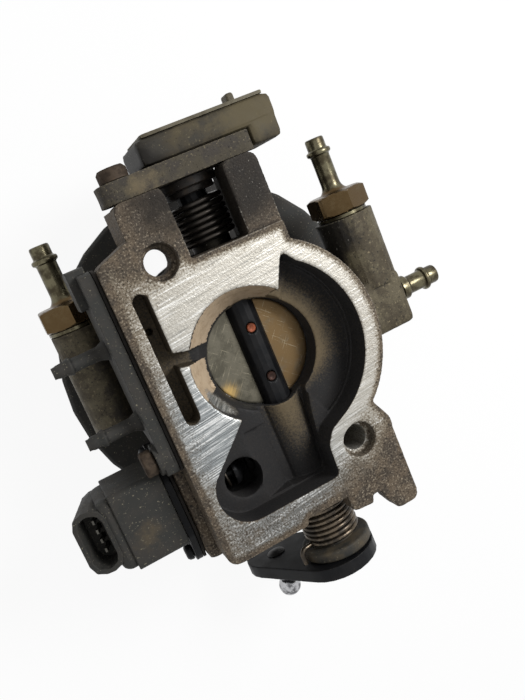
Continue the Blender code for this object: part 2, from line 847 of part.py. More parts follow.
def vacuum_tools():
    """Drillings from the vacuum block into the slot and into the bore's mouth."""
    z = FLANGE_Z - VACUUM_TUBE_DEPTH
    upper, lower = VACUUM_TUBES_Y
    return [
        cylinder("slot feed", (LEFT_WALL_X - GAP, upper, z), (SLOT_X, upper, z), 0.0016, SMALL),
        cylinder("slot rise", (SLOT_X, upper, z - 0.001), (SLOT_X, upper, FLANGE_Z), 0.0012, SMALL),
        cylinder(
            "bore feed", (LEFT_WALL_X - GAP, lower, z), (-0.9 * BORE_RADIUS, lower, z), 0.0016, SMALL
        ),
    ]


def idle_screw_seats():
    """Where the idle valve's two screw heads sit."""
    x = PAD_X - GAP - IDLE_GASKET - GAP - IDLE_FLANGE - GAP
    half = IDLE_SCREW_SPACING / 2
    return [(x, IDLE_Y + half, IDLE_Z), (x, IDLE_Y - half, IDLE_Z)]


def idle_screw_length():
    """Shank length from the idle valve's flange into its pad."""
    return IDLE_FLANGE + IDLE_GASKET + 3 * GAP + 0.008


def vacuum_bolt_seat():
    """Where the vacuum block's bolt head sits."""
    x = LEFT_WALL_X - GAP - VACUUM_GASKET - GAP - VACUUM_PLATE - VACUUM_BOSS - GAP
    return (x, VACUUM_BOLT_Y, FLANGE_Z - VACUUM_BOLT_DEPTH)


def vacuum_bolt_length():
    """Shank length from the vacuum block's boss into the casting."""
    return VACUUM_BOSS + VACUUM_PLATE + VACUUM_GASKET + 3 * GAP + 0.007


def sensor_screw_seats():
    """Where the sensor bracket's two screw heads sit: one proud, one sunk under the sensor."""
    y = BRACKET_Y + BRACKET_THICKNESS + GAP
    sunk = y - GAP - SENSOR_SCREW_HEAD_HEIGHT
    high, low = [FLANGE_Z - depth for depth in SENSOR_SCREW_DEPTHS]
    return [(SENSOR_SCREWS_X[0], y, high), (SENSOR_SCREWS_X[1], sunk, low)]


def body_screw_seats():
    """Where the heads of the screws that clamp the fuel body to the casting sit."""
    z = FUEL_BODY_Z + SCREW_HEAD_HEIGHT + 2 * GAP
    return [polar(SCREW_CIRCLE_RADIUS, angle, z) for angle in BODY_SCREW_ANGLES]


def body_screw_length():
    """Shank length through the fuel body and gasket into the casting."""
    return CASTING_Z - FUEL_BODY_Z - SCREW_HEAD_HEIGHT + SCREW_GRIP


def make_casting():
    """The lower casting: flange, posts, lug and pads, then every recess and drilling."""
    top = FLANGE_Z
    post_left = NOTCH_LEFT_X - LEFT_POST_WIDTH
    post_right = NOTCH_RIGHT_X + RIGHT_POST_WIDTH
    deep_y = BOLT_A[1] + COUNTERBORE_RADIUS + 0.0035
    post_low = POST_Z - POST_HEIGHT
    lug_top = top - LUG_DROP
    pad_half = IDLE_FLANGE_LENGTH / 2
    pad_rise = IDLE_FLANGE_WIDTH / 2
    casting = prism("casting", flange_outline(), FLANGE_FOOT_Z, top)
    left_post = rounded(
        [
            (post_left, deep_y - 0.014, 0.0),
            (NOTCH_LEFT_X, deep_y - 0.014, 0.0),
            (NOTCH_LEFT_X, POST_END_Y, 0.002),
            (post_left, POST_END_Y, 0.003),
        ]
    )
    undercut_x = SENSOR_COLLAR_RADIUS + 0.0015
    right_post = rounded(
        [
            (NOTCH_RIGHT_X, NOTCH_FLOOR_Y - 0.007, 0.0),
            (post_right, NOTCH_FLOOR_Y - 0.009, 0.0),
            (post_right, POST_END_Y, 0.003),
            (NOTCH_RIGHT_X, POST_END_Y, 0.002),
        ]
    )
    right_root = rounded(
        [
            (undercut_x, NOTCH_FLOOR_Y - 0.011, 0.0),
            (post_right - 0.0005, NOTCH_FLOOR_Y - 0.012, 0.0),
            (post_right - 0.0005, POST_END_Y - 0.0005, 0.003),
            (undercut_x, POST_END_Y - 0.0005, 0.001),
        ]
    )
    join(
        casting,
        prism("barrel", barrel_outline(), CASTING_Z, FLANGE_FOOT_Z + 0.001),
        prism("left post", left_post, FLANGE_FOOT_Z + 0.0005, POST_Z),
        box(
            "left post root",
            (post_left + 0.001, deep_y, post_low),
            (NOTCH_LEFT_X - 0.001, POST_END_Y - 0.001, POST_Z - 0.001),
        ),
        prism("right post", right_post, FLANGE_FOOT_Z + 0.0005, POST_Z),
        prism("right post root", right_root, post_low, POST_Z - 0.001),
        prism("lug", lug_outline(), lug_top - LUG_THICKNESS, lug_top),
        box(
            "spring anchor",
            (-0.0195, SPRING_SEAT_Y - 0.0085, SHAFT_Z + 0.003),
            (-RETURN_COIL_RADIUS - 0.0030, SPRING_SEAT_Y + 0.003, SHAFT_Z + 0.010),
        ),
        soften(
            box(
                "idle pad",
                (PAD_X, IDLE_Y - pad_half, IDLE_Z - pad_rise),
                (LEFT_WALL_X + 0.006, IDLE_Y + pad_half, IDLE_Z + pad_rise),
            ),
            0.002,
        ),
    )
    cut(
        casting,
        prism("cavity", cavity_outline(), top - SHELF_DEPTH, top + GAP),
        prism("crescent", crescent_outline(), top - CAVITY_DEPTH, top - SHELF_DEPTH + 0.001),
        prism("trough", trough_outline(), top - TROUGH_DEPTH, top - SHELF_DEPTH + 0.001),
        valley_tool(),
    )
    join(
        casting,
        cylinder(
            "shaft tunnel",
            (0, -0.6 * BORE_RADIUS, SHAFT_Z),
            (0, IDLE_Y - IDLE_POCKET_RADIUS - 0.003, SHAFT_Z),
            TUNNEL_RADIUS,
            SMALL + FINE,
        ),
    )
    cut(
        casting,
        cylinder("bore", (0, 0, CASTING_Z - GAP), (0, 0, top + GAP), BORE_RADIUS, ROUND),
        flare_tool(),
        *slot_tools(),
        *bolt_tools(),
        *idle_tools(),
        *shaft_bores(),
        *vacuum_tools(),
        *[screw_hole(seat, (-1, 0, 0), idle_screw_length()) for seat in idle_screw_seats()],
        screw_hole(vacuum_bolt_seat(), (-1, 0, 0), vacuum_bolt_length(), VACUUM_BOLT_RADIUS),
        *[
            screw_hole(seat, (0, 1, 0), BRACKET_THICKNESS + SENSOR_SCREW_GRIP, SENSOR_SCREW_RADIUS)
            for seat in sensor_screw_seats()
        ],
        *[screw_hole(seat, (0, 0, -1), body_screw_length()) for seat in body_screw_seats()],
    )
    part("throttle_casting", casting, "cast_aluminium")


def make_body_gasket():
    """The paper gasket between the two castings."""
    low = FUEL_BODY_TOP + GAP
    high = low + GASKET_THICKNESS
    gasket = ring(
        "gasket", (0, 0, low), (0, 0, 1), THROAT_TOP_RADIUS, FUEL_BODY_RADIUS, high - low, ROUND
    )
    cut(
        gasket,
        *[screw_hole(seat, (0, 0, -1), body_screw_length()) for seat in body_screw_seats()],
    )
    part("body_gasket", gasket, "gasket_paper")


def make_fuel_body():
    """The fuel meter body: round throat, injector pod on a bridge, and the two fuel bosses."""
    low = FUEL_BODY_Z
    high = FUEL_BODY_TOP
    pod_top = low + POD_HEIGHT
    body = cylinder("fuel body", (0, 0, low), (0, 0, high), FUEL_BODY_RADIUS, ROUND)
    arm_low = low + 0.004
    block_right = RETURN_X + RETURN_BOSS_RADIUS - RETURN_BLOCK_TRIM
    inlet_arm = box(
        "inlet arm",
        (INLET_X, INLET_BOSS_FOOT_Y + 0.001, arm_low),
        (-0.7 * FUEL_BODY_RADIUS, INLET_BOSS_END_Y - 0.014, INLET_Z - 0.001),
    )
    return_arm = box(
        "return arm",
        (0.7 * FUEL_BODY_RADIUS, RETURN_BLOCK_FOOT_Y + 0.002, arm_low),
        (RETURN_X, RETURN_BOSS_END_Y - 0.014, high - 0.001),
    )
    return_block = box(
        "return block",
        (RETURN_X - RETURN_BOSS_RADIUS + 0.0006, RETURN_BLOCK_FOOT_Y, RETURN_Z - RETURN_BOSS_RADIUS),
        (block_right, RETURN_BLOCK_TOP_Y, RETURN_Z + RETURN_BOSS_RADIUS - 0.001),
    )
    join(
        body,
        inlet_arm,
        return_arm,
        soften(return_block, 0.0025),
        cylinder(
            "inlet boss",
            (INLET_X, INLET_BOSS_FOOT_Y, INLET_Z),
            (INLET_X, INLET_BOSS_END_Y, INLET_Z),
            INLET_BOSS_RADIUS,
            SMALL + FINE,
        ),
        cylinder(
            "return boss",
            (RETURN_X, RETURN_BLOCK_TOP_Y - 0.004, RETURN_Z),
            (RETURN_X, RETURN_BOSS_END_Y, RETURN_Z),
            RETURN_BOSS_RADIUS,
            SMALL + FINE,
        ),
        cylinder(
            "regulator seat",
            (REGULATOR_X, -0.8 * FUEL_BODY_RADIUS, low + FUEL_BODY_HEIGHT / 2),
            (REGULATOR_X, -FUEL_BODY_RADIUS - REGULATOR_SEAT, low + FUEL_BODY_HEIGHT / 2),
            REGULATOR_RADIUS,
        ),
    )
    throat = cylinder(
        "throat", (0, 0, low - GAP), (0, 0, high + GAP), THROAT_RADIUS, ROUND, THROAT_TOP_RADIUS
    )
    cut(body, throat)
    bridge = box(
        "bridge",
        (-THROAT_RADIUS - 0.002, -BRIDGE_WIDTH / 2, low + 0.001),
        (THROAT_RADIUS + 0.002, BRIDGE_WIDTH / 2, pod_top - 0.003),
    )
    join(
        body,
        bridge,
        cylinder("pod", (0, 0, low + 0.001), (0, 0, pod_top), POD_RADIUS, ROUND),
    )
    cut(
        body,
        cylinder("injector bore", (0, 0, low), (0, 0, high), INJECTOR_RADIUS + GAP),
        fitting_hole(INLET_X, INLET_BOSS_END_Y, INLET_Z),
        fitting_hole(RETURN_X, RETURN_BOSS_END_Y, RETURN_Z),
        cylinder(
            "side nipple hole",
            (block_right - 0.008, SIDE_NIPPLE_Y, RETURN_Z),
            (block_right + GAP, SIDE_NIPPLE_Y, RETURN_Z),
            FITTING_STEM_RADIUS + GAP,
        ),
        *[screw_hole(seat, (0, 0, -1), body_screw_length()) for seat in body_screw_seats()],
        *[head_pocket(seat) for seat in body_screw_seats()],
        *[
            screw_hole(seat, (0, 0, -1), HORN_HEIGHT + 0.004)
            for seat in horn_screw_seats()
        ],
        *[screw_hole(seat, (0, 0, -1), CLAMP_THICKNESS + CLAMP_SCREW_GRIP) for seat in clamp_screw_seats()],
        *[
            screw_hole(seat, (0, -1, 0), REGULATOR_SCREW_LENGTH, REGULATOR_SCREW_RADIUS)
            for seat in regulator_screw_seats()
        ],
    )
    part("fuel_meter_body", body, "tan_casting")


def fitting_hole(x, y, z):
    """The threaded hole that a fuel fitting screws into."""
    depth = FITTING_THREAD_LENGTH + 0.003
    return cylinder(
        "fitting hole", (x, y - depth, z), (x, y + GAP, z), FITTING_THREAD_RADIUS + GAP
    )


def head_pocket(seat):
    """The counterbore that sinks a body screw's head."""
    low = (seat[0], seat[1], FUEL_BODY_Z - GAP)
    high = (seat[0], seat[1], seat[2] + GAP)
    return cylinder("head pocket", low, high, SCREW_HEAD_RADIUS + 2 * GAP, PLAIN)


def horn_screw_seats():
    """Where the air horn's screw heads sit, in pockets under its collar."""
    return [polar(SCREW_CIRCLE_RADIUS, angle, HORN_WEB) for angle in HORN_SCREW_ANGLES]


def clamp_screw_seats():
    """Where the injector clamp's screw heads sit."""
    z = FUEL_BODY_Z + 0.001 - GAP - CLAMP_THICKNESS - GAP
    half = CLAMP_SCREW_SPACING / 2
    return [(-half, 0.0, z), (half, 0.0, z)]


def regulator_screw_seats():
    """Where the regulator cover's three screw heads sit."""
    y = -FUEL_BODY_RADIUS - REGULATOR_SEAT - GAP - REGULATOR_LIP - GAP
    z = FUEL_BODY_Z + FUEL_BODY_HEIGHT / 2
    circle = REGULATOR_RADIUS - 0.0022
    seats = []
    for angle in (90.0, 210.0, 330.0):
        x, rise = arc((REGULATOR_X, z), circle, angle, angle, 1)[0]
        seats.append((x, y, rise))
    return seats


def make_air_horn():
    """The air horn: a collar round the throat and the windowed web and rim that the air cleaner seals on."""
    inner = HORN_RADIUS - HORN_RING_WIDTH
    web_inner = FUEL_BODY_RADIUS - 0.002
    collar = ring(
        "horn", (0, 0, 0), (0, 0, 1), THROAT_RADIUS + GAP, FUEL_BODY_RADIUS, HORN_HEIGHT, ROUND
    )
    rim_profile = [
        (HORN_RADIUS - 0.0012, HORN_RIM_HEIGHT),
        (HORN_RADIUS, HORN_RIM_HEIGHT - 0.0012),
        (HORN_RADIUS, 0.0),
        (HORN_RADIUS - HORN_RIM_WIDTH, 0.0),
        (HORN_RADIUS - HORN_RIM_WIDTH, HORN_RIM_HEIGHT - HORN_WEB),
        (web_inner, HORN_RIM_HEIGHT - HORN_WEB),
        (web_inner, HORN_RIM_HEIGHT),
    ]
    join(
        collar,
        turned("rim", rim_profile, (0, 0, 0), (0, 0, 1), ROUND, ring=True),
    )
    for start, end in HORN_WINDOWS:
        near = arc((0.0, 0.0), inner - HORN_WINDOW_WIDTH, end, start, 6)
        far = arc((0.0, 0.0), inner, start, end, 8)
        cut(collar, prism("window", near + far, 0.0, HORN_RIM_HEIGHT + GAP))
    for seat in horn_screw_seats():
        low = (seat[0], seat[1], -GAP)
        cut(
            collar,
            cylinder("horn screw pocket", low, seat, SCREW_HEAD_RADIUS + 2 * GAP, PLAIN),
            screw_hole(seat, (0, 0, -1), HORN_HEIGHT),
        )
    part("air_horn", collar, "black_plastic")
    for index, seat in enumerate(horn_screw_seats()):
        machine_screw(
            f"horn_screw_{index + 1}",
            (seat[0], seat[1], seat[2] - GAP),
            (0, 0, -1),
            HORN_HEIGHT + 0.0035,
            "plated_steel",
        )


def make_body_screws():
    """The screws that clamp the fuel body to the lower casting."""
    for index, seat in enumerate(body_screw_seats()):
        machine_screw(
            f"body_screw_{index + 1}", seat, (0, 0, -1), body_screw_length() - GAP, "plated_steel"
        )


def nipple_profile(length):
    """A hose nipple's outside: rounded lip, bead and stem, from its mouth down."""
    lip = FITTING_STEM_RADIUS
    bead = length - 0.006
    return [
        (0.0, length),
        (lip - 0.0006, length),
        (lip, length - 0.0008),
        (lip, bead + 0.0018),
        (FITTING_BEAD_RADIUS, bead + 0.0008),
        (FITTING_BEAD_RADIUS, bead - 0.0004),
        (lip - 0.0003, bead - 0.0016),
    ]


def make_fitting(name, x, seat_y, z, finish):
    """A fuel fitting: threaded foot, sealing washer, hexagon and beaded hose nipple."""
    washer_y = seat_y + GAP
    hex_y = washer_y + WASHER_THICKNESS + GAP
    foot = FITTING_HEX_LENGTH + WASHER_THICKNESS + 2 * GAP + FITTING_THREAD_LENGTH
    start = (x, hex_y + FITTING_HEX_LENGTH, z)
    profile = nipple_profile(FITTING_STEM_LENGTH)
    profile += [
        (FITTING_STEM_RADIUS - 0.0003, 0.002),
        (FITTING_STEM_RADIUS + 0.0015, -0.0005),
        (FITTING_THREAD_RADIUS, -0.001),
        (FITTING_THREAD_RADIUS, -foot),
        (0.0, -foot),
    ]
    fitting = turned(name, profile, start, (0, 1, 0), SMALL + 6)
    hexagon = hex_bar("hexagon", (x, hex_y, z), start, FITTING_HEX, 30.0)
    join(fitting, soften(hexagon, 0.0008, 1))
    mouth_y = start[1] + FITTING_STEM_LENGTH + GAP
    foot_y = start[1] - foot - GAP
    cut(fitting, cylinder("fuel way", (x, foot_y, z), (x, mouth_y, z), FITTING_BORE_RADIUS, SMALL))
    part(name, fitting, finish)
    washer = ring(
        name + " washer",
        (x, washer_y, z),
        (0, 1, 0),
        FITTING_THREAD_RADIUS + GAP,
        FITTING_HEX - 0.0004,
        WASHER_THICKNESS,
    )
    part(name + "_washer", washer, "plated_steel")


def make_side_nipple():
    """The pressed-in nipple on the return block's side."""
    foot = 0.007
    block_right = RETURN_X + RETURN_BOSS_RADIUS - RETURN_BLOCK_TRIM
    start = (block_right + GAP, SIDE_NIPPLE_Y, RETURN_Z)
    profile = nipple_profile(SIDE_NIPPLE_LENGTH)
    profile += [
        (FITTING_STEM_RADIUS - 0.0003, 0.004),
        (FITTING_STEM_RADIUS + 0.0012, 0.003),
        (FITTING_STEM_RADIUS + 0.0012, 0.0),
        (FITTING_STEM_RADIUS, 0.0),
        (FITTING_STEM_RADIUS, -foot),
        (0.0, -foot),
    ]
    nipple = turned("side nipple", profile, start, (1, 0, 0), SMALL + 6)
    mouth = (start[0] + SIDE_NIPPLE_LENGTH + GAP, SIDE_NIPPLE_Y, RETURN_Z)
    end = (start[0] - foot - GAP, SIDE_NIPPLE_Y, RETURN_Z)
    cut(nipple, cylinder("vapour way", end, mouth, FITTING_BORE_RADIUS, SMALL))
    part("side_nipple", nipple, "plated_steel")


def make_injector():
    """The injector hanging in its pod, its seal, and the clamp that holds it."""
    low = FUEL_BODY_Z + 0.001
    tip = INJECTOR_LENGTH + INJECTOR_TIP_LENGTH
    profile = [
        (0.0, tip),
        (INJECTOR_TIP_RADIUS - 0.001, tip),
        (INJECTOR_TIP_RADIUS, tip - 0.001),
        (INJECTOR_TIP_RADIUS, INJECTOR_LENGTH),
        (INJECTOR_RADIUS - 0.002, INJECTOR_LENGTH),
        (INJECTOR_RADIUS - 0.002, POD_HEIGHT - 0.002),
        (INJECTOR_RADIUS, POD_HEIGHT - 0.003),
        (INJECTOR_RADIUS, 0.0),
        (0.0, 0.0),
    ]
    part("injector", turned("injector", profile, (0, 0, low), (0, 0, 1)), "plated_steel")
    seal_z = low + POD_HEIGHT - 0.001 + GAP
    seal = ring(
        "seal", (0, 0, seal_z), (0, 0, 1), INJECTOR_RADIUS - 0.002 + GAP, POD_RADIUS - 0.001, 0.0016
    )
    part("injector_seal", seal, "black_plastic")
    half = CLAMP_LENGTH / 2
    top = low - GAP
    outline = rounded(
        [
            (-half, -BRIDGE_WIDTH / 2, 0.004),
            (half, -BRIDGE_WIDTH / 2, 0.004),
            (half, BRIDGE_WIDTH / 2, 0.004),
            (-half, BRIDGE_WIDTH / 2, 0.004),
        ]
    )
    clamp = prism("clamp", outline, top - CLAMP_THICKNESS, top)
    cut(
        clamp,
        *[screw_hole(seat, (0, 0, -1), CLAMP_THICKNESS + CLAMP_SCREW_GRIP) for seat in clamp_screw_seats()],
    )
    part("injector_clamp", clamp, "plated_steel")
    for index, seat in enumerate(clamp_screw_seats()):
        length = CLAMP_THICKNESS + CLAMP_SCREW_GRIP - GAP
        machine_screw(f"clamp_screw_{index + 1}", seat, (0, 0, -1), length, "plated_steel")


def make_regulator():
    """The pressure regulator's domed cover and its screws."""
    seat_y = -FUEL_BODY_RADIUS - REGULATOR_SEAT - GAP
    start = (REGULATOR_X, seat_y, FUEL_BODY_Z + FUEL_BODY_HEIGHT / 2)
    dome = REGULATOR_RADIUS - 0.0048
    profile = [(0.0, REGULATOR_COVER)]
    for angle in (30, 60, 90):
        turn = math.radians(angle)
        fall = 0.4 * dome * (1 - math.cos(turn))
        profile.append((dome * math.sin(turn), REGULATOR_COVER - fall))
    profile += [
        (dome, REGULATOR_LIP),
        (REGULATOR_RADIUS, REGULATOR_LIP),
        (REGULATOR_RADIUS, 0.0),
        (0.0, 0.0),
    ]
    cover = turned("cover", profile, start, (0, -1, 0), SMALL + 4)
    length = REGULATOR_SCREW_LENGTH
    radius = REGULATOR_SCREW_RADIUS
    cut(cover, *[screw_hole(seat, (0, -1, 0), length, radius) for seat in regulator_screw_seats()])
    part("regulator_cover", cover, "plated_steel")
    for index, seat in enumerate(regulator_screw_seats()):
        machine_screw(
            f"regulator_screw_{index + 1}", seat, (0, -1, 0), length - GAP, "plated_steel", radius
        )


def make_vacuum_block():
    """The moulded vacuum block on the left wall: plate, bolt boss and two beaded tubes."""
    face = LEFT_WALL_X - GAP - VACUUM_GASKET - GAP
    outer = face - VACUUM_PLATE
    high = FLANGE_Z - VACUUM_DROP
    low = high - VACUUM_PLATE_HEIGHT
    shoulder = IDLE_Y + IDLE_FLANGE_LENGTH / 2 + 0.004
    lift = IDLE_Z + IDLE_FLANGE_WIDTH / 2 + 0.001
    outline = rounded(
        [
            (VACUUM_FOOT_Y, lift, 0.003),
            (shoulder, lift, 0.001),
            (shoulder + 0.004, low, 0.003),
            (VACUUM_TOP_Y - 0.004, low, 0.003),
            (VACUUM_TOP_Y, low + 0.006, 0.003),
            (VACUUM_TOP_Y, high, 0.003),
            (VACUUM_FOOT_Y, high, 0.003),
        ]
    )
    bolt = vacuum_bolt_seat()
    shank = screw_hole(bolt, (-1, 0, 0), vacuum_bolt_length(), VACUUM_BOLT_RADIUS)
    gasket = prism("gasket", outline, GAP, GAP + VACUUM_GASKET, across_x(face))
    part("vacuum_gasket", cut(gasket, shank), "gasket_paper")
    block = prism("block", outline, -VACUUM_PLATE, 0.0, across_x(face))
    step = rounded(
        [
            (VACUUM_TOP_Y - 0.012, low + 0.005, 0.002),
            (VACUUM_TOP_Y + 0.0025, low + 0.005, 0.002),
            (VACUUM_TOP_Y + 0.0025, high - 0.005, 0.002),
            (VACUUM_TOP_Y - 0.012, high - 0.005, 0.002),
        ]
    )
    join(
        block,
        prism("end step", step, -VACUUM_PLATE - 0.003, -0.001, across_x(face)),
        cylinder(
            "bolt boss",
            (bolt[0] + GAP, bolt[1], bolt[2]),
            (face - 0.001, bolt[1], bolt[2]),
            0.0062,
        ),
    )
    tube_z = FLANGE_Z - VACUUM_TUBE_DEPTH
    radius = VACUUM_TUBE_RADIUS
    length = VACUUM_TUBE_LENGTH
    tube = [
        (0.0, length),
        (radius - 0.0005, length),
        (radius, length - 0.0008),
        (radius, length - 0.0048),
        (radius + 0.0008, length - 0.0058),
        (radius + 0.0008, length - 0.0068),
        (radius, length - 0.0074),
        (radius, 0.003),
        (radius + 0.0014, 0.001),
        (radius + 0.0014, -0.003),
        (0.0, -0.003),
    ]
    for y in VACUUM_TUBES_Y:
        start = (outer, y, tube_z)
        join(block, turned("tube", tube, start, (-1, 0, 0), SMALL))
    for y in VACUUM_TUBES_Y:
        tip = (outer - length - GAP, y, tube_z)
        cut(block, cylinder("tube bore", tip, (face + GAP, y, tube_z), radius - 0.0012, SMALL))
    part("vacuum_block", cut(block, shank), "black_plastic")
    head_end = (bolt[0] - VACUUM_BOLT_HEAD, bolt[1], bolt[2])
    head = hex_bar("head", bolt, head_end, VACUUM_BOLT_HEX)
    stem = cylinder(
        "stem",
        (bolt[0] - 0.001, bolt[1], bolt[2]),
        (bolt[0] + vacuum_bolt_length() - GAP, bolt[1], bolt[2]),
        VACUUM_BOLT_RADIUS,
        SMALL,
    )
    part("vacuum_bolt", join(soften(head, 0.0006, 1), stem), "rusty_steel")


def idle_stack():
    """The X places of the idle valve's gasket, flange, can and cap faces."""
    gasket = PAD_X - GAP
    flange = gasket - IDLE_GASKET - GAP
    can = flange - IDLE_FLANGE - GAP
    cap = can - IDLE_CAN_LENGTH - GAP
    return gasket, flange, can, cap


def make_idle_valve():
    """The idle air stepper: gasket, steel flange, moulded can, screws, pintle and its spring."""
    gasket_x, flange_x, can_x, cap_x = idle_stack()
    half = IDLE_FLANGE_LENGTH / 2
    rise = IDLE_FLANGE_WIDTH / 2
    ear = 0.0055
    waist = IDLE_PASSAGE_RADIUS + 0.003
    outline = rounded(
        [
            (IDLE_Y - half, IDLE_Z - ear, 0.004),
            (IDLE_Y - waist, IDLE_Z - rise, 0.004),
            (IDLE_Y + waist, IDLE_Z - rise, 0.004),
            (IDLE_Y + half, IDLE_Z - ear, 0.004),
            (IDLE_Y + half, IDLE_Z + ear, 0.004),
            (IDLE_Y + waist, IDLE_Z + rise, 0.004),
            (IDLE_Y - waist, IDLE_Z + rise, 0.004),
            (IDLE_Y - half, IDLE_Z + ear, 0.004),
        ]
    )
    shanks = [screw_hole(seat, (-1, 0, 0), idle_screw_length()) for seat in idle_screw_seats()]
    window = cylinder(
        "window",
        (can_x - GAP, IDLE_Y, IDLE_Z),
        (PAD_X, IDLE_Y, IDLE_Z),
        IDLE_PASSAGE_RADIUS,
    )
    gasket = prism("gasket", outline, -IDLE_GASKET, 0.0, across_x(gasket_x))
    part("idle_gasket", cut(gasket, window, *shanks), "gasket_paper")
    flange = prism("flange", outline, -IDLE_FLANGE, 0.0, across_x(flange_x))
    rod_hole = cylinder(
        "rod hole",
        (can_x - IDLE_CAN_LENGTH * 0.8, IDLE_Y, IDLE_Z),
        (PAD_X, IDLE_Y, IDLE_Z),
        PINTLE_ROD_RADIUS + GAP,
        SMALL,
    )
    part("idle_flange", cut(flange, rod_hole, *shanks), "black_steel")
    can_y = IDLE_Y + IDLE_CAN_SHIFT
    can = box(
        "can",
        (can_x - IDLE_CAN_LENGTH, can_y - IDLE_CAN_SIZE[0] / 2, IDLE_Z - IDLE_CAN_SIZE[1] / 2),
        (can_x, can_y + IDLE_CAN_SIZE[0] / 2, IDLE_Z + IDLE_CAN_SIZE[1] / 2),
    )
    part("idle_motor_can", cut(soften(can, 0.004, 3), rod_hole), "black_plastic")
    for index, seat in enumerate(idle_screw_seats()):
        machine_screw(
            f"idle_screw_{index + 1}", seat, (-1, 0, 0), idle_screw_length() - GAP, "plated_steel"
        )
    make_pintle(flange_x)
    make_idle_connector(cap_x)


def make_pintle(flange_x):
    """The pintle that meters idle air, and the spring that loads it."""
    head_x = IDLE_SEAT_X - 0.001
    rod_length = head_x - flange_x + IDLE_FLANGE + 0.004
    head = 0.007
    profile = [
        (0.0, 0.0),
        (0.0012, -0.0004),
        (PINTLE_HEAD_RADIUS * 0.55, -head * 0.45),
        (PINTLE_HEAD_RADIUS, -head * 0.75),
        (PINTLE_HEAD_RADIUS, -head),
        (PINTLE_ROD_RADIUS, -head),
        (PINTLE_ROD_RADIUS, -rod_length),
        (0.0, -rod_length),
    ]
    pintle = turned("pintle", profile, (head_x, IDLE_Y, IDLE_Z), (1, 0, 0), SMALL)
    part("idle_pintle", pintle, "plated_steel", PINTLE_AXIS)
    radius = PINTLE_HEAD_RADIUS - 0.0010
    thick = 0.0006
    start = flange_x + GAP + thick
    length = head_x - head - GAP - thick - start
    turns = 7
    points = helix((start, IDLE_Y, IDLE_Z), (1, 0, 0), radius, turns, length / turns)
    least_gap("idle pintle spring", points, thick, 6)
    part("idle_pintle_spring", wire("pintle spring", points, thick), "spring_steel")


def helix(start, direction, radius, turns, pitch, per_turn=8, phase=0.0):
    """Points of a coil that starts at start and climbs along direction."""
    frame = along(start, direction)
    points = []
    for index in range(turns * per_turn + 1):
        angle = 2 * math.pi * index / per_turn + math.radians(phase)
        local = (radius * math.cos(angle), radius * math.sin(angle), pitch * index / per_turn)
        points.append(tuple(frame @ Vector(local)))
    return points


def make_idle_connector(cap_x):
    """The idle valve's end cap with its tilted four-way socket, and the four terminals."""
    tilt = math.radians(CONNECTOR_TILT)
    top = CONNECTOR_HEIGHT
    floor = top - CONNECTOR_DEPTH
    reach = (CONNECTOR_WIDTH / 2 - CONNECTOR_WALL) * math.cos(tilt) - floor * math.sin(tilt)
    root = Matrix.Translation((cap_x - 0.0015 - reach, IDLE_Y + 0.003, IDLE_Z - 0.010))
    place = root @ Matrix.Rotation(-tilt, 4, "Y")
    half_y = IDLE_CAN_SIZE[0] / 2 - 0.001
    half_z = IDLE_CAN_SIZE[1] / 2 - 0.001
    cap_y = IDLE_Y + IDLE_CAN_SHIFT
    cap = box(
        "cap",
        (cap_x - IDLE_CAP, cap_y - half_y, IDLE_Z - half_z),
        (cap_x + IDLE_CAP, cap_y + half_y, IDLE_Z + half_z),
    )
    soften(cap, 0.003, 2)
    join(cap, prism("shell", socket_outline(0.0), -0.002, top, place))
    cut(
        cap,
        box(
            "cap seat",
            (cap_x, IDLE_Y - 2 * half_y, IDLE_Z - 2 * half_z),
            (cap_x + 3 * IDLE_CAP, IDLE_Y + 2 * half_y, IDLE_Z + 2 * half_z),
        ),
        prism("socket", socket_outline(CONNECTOR_WALL), floor, top + GAP, place),
    )
    first = -1.5 * PIN_PITCH
    width, depth = PIN_SIZE
    for index in range(4):
        y = first + index * PIN_PITCH
        cut(
            cap,
            box(
                "pin slot",
                (-width / 2 - GAP, y - depth / 2 - GAP, floor - 0.004),
                (width / 2 + GAP, y + depth / 2 + GAP, floor + GAP),
                place,
            ),
        )
    part("idle_connector", cap, "black_plastic")
    for index in range(4):
        y = first + index * PIN_PITCH
        pin = box(
            "pin",
            (-width / 2, y - depth / 2, floor - 0.004 + GAP),
            (width / 2, y + depth / 2, top - PIN_DROP),
            place,
        )
        part(f"idle_terminal_{index + 1}", pin, "tin_terminal")


def socket_outline(inset):
    """The rounded oblong of the four-way socket."""
    half_x = CONNECTOR_WIDTH / 2 - inset
    half_y = CONNECTOR_LENGTH / 2 - inset
    radius = 0.005 - inset / 2
    return rounded(
        [
            (-half_x, -half_y, radius),
            (half_x, -half_y, radius),
            (half_x, half_y, radius),
            (-half_x, half_y, radius),
        ]
    )


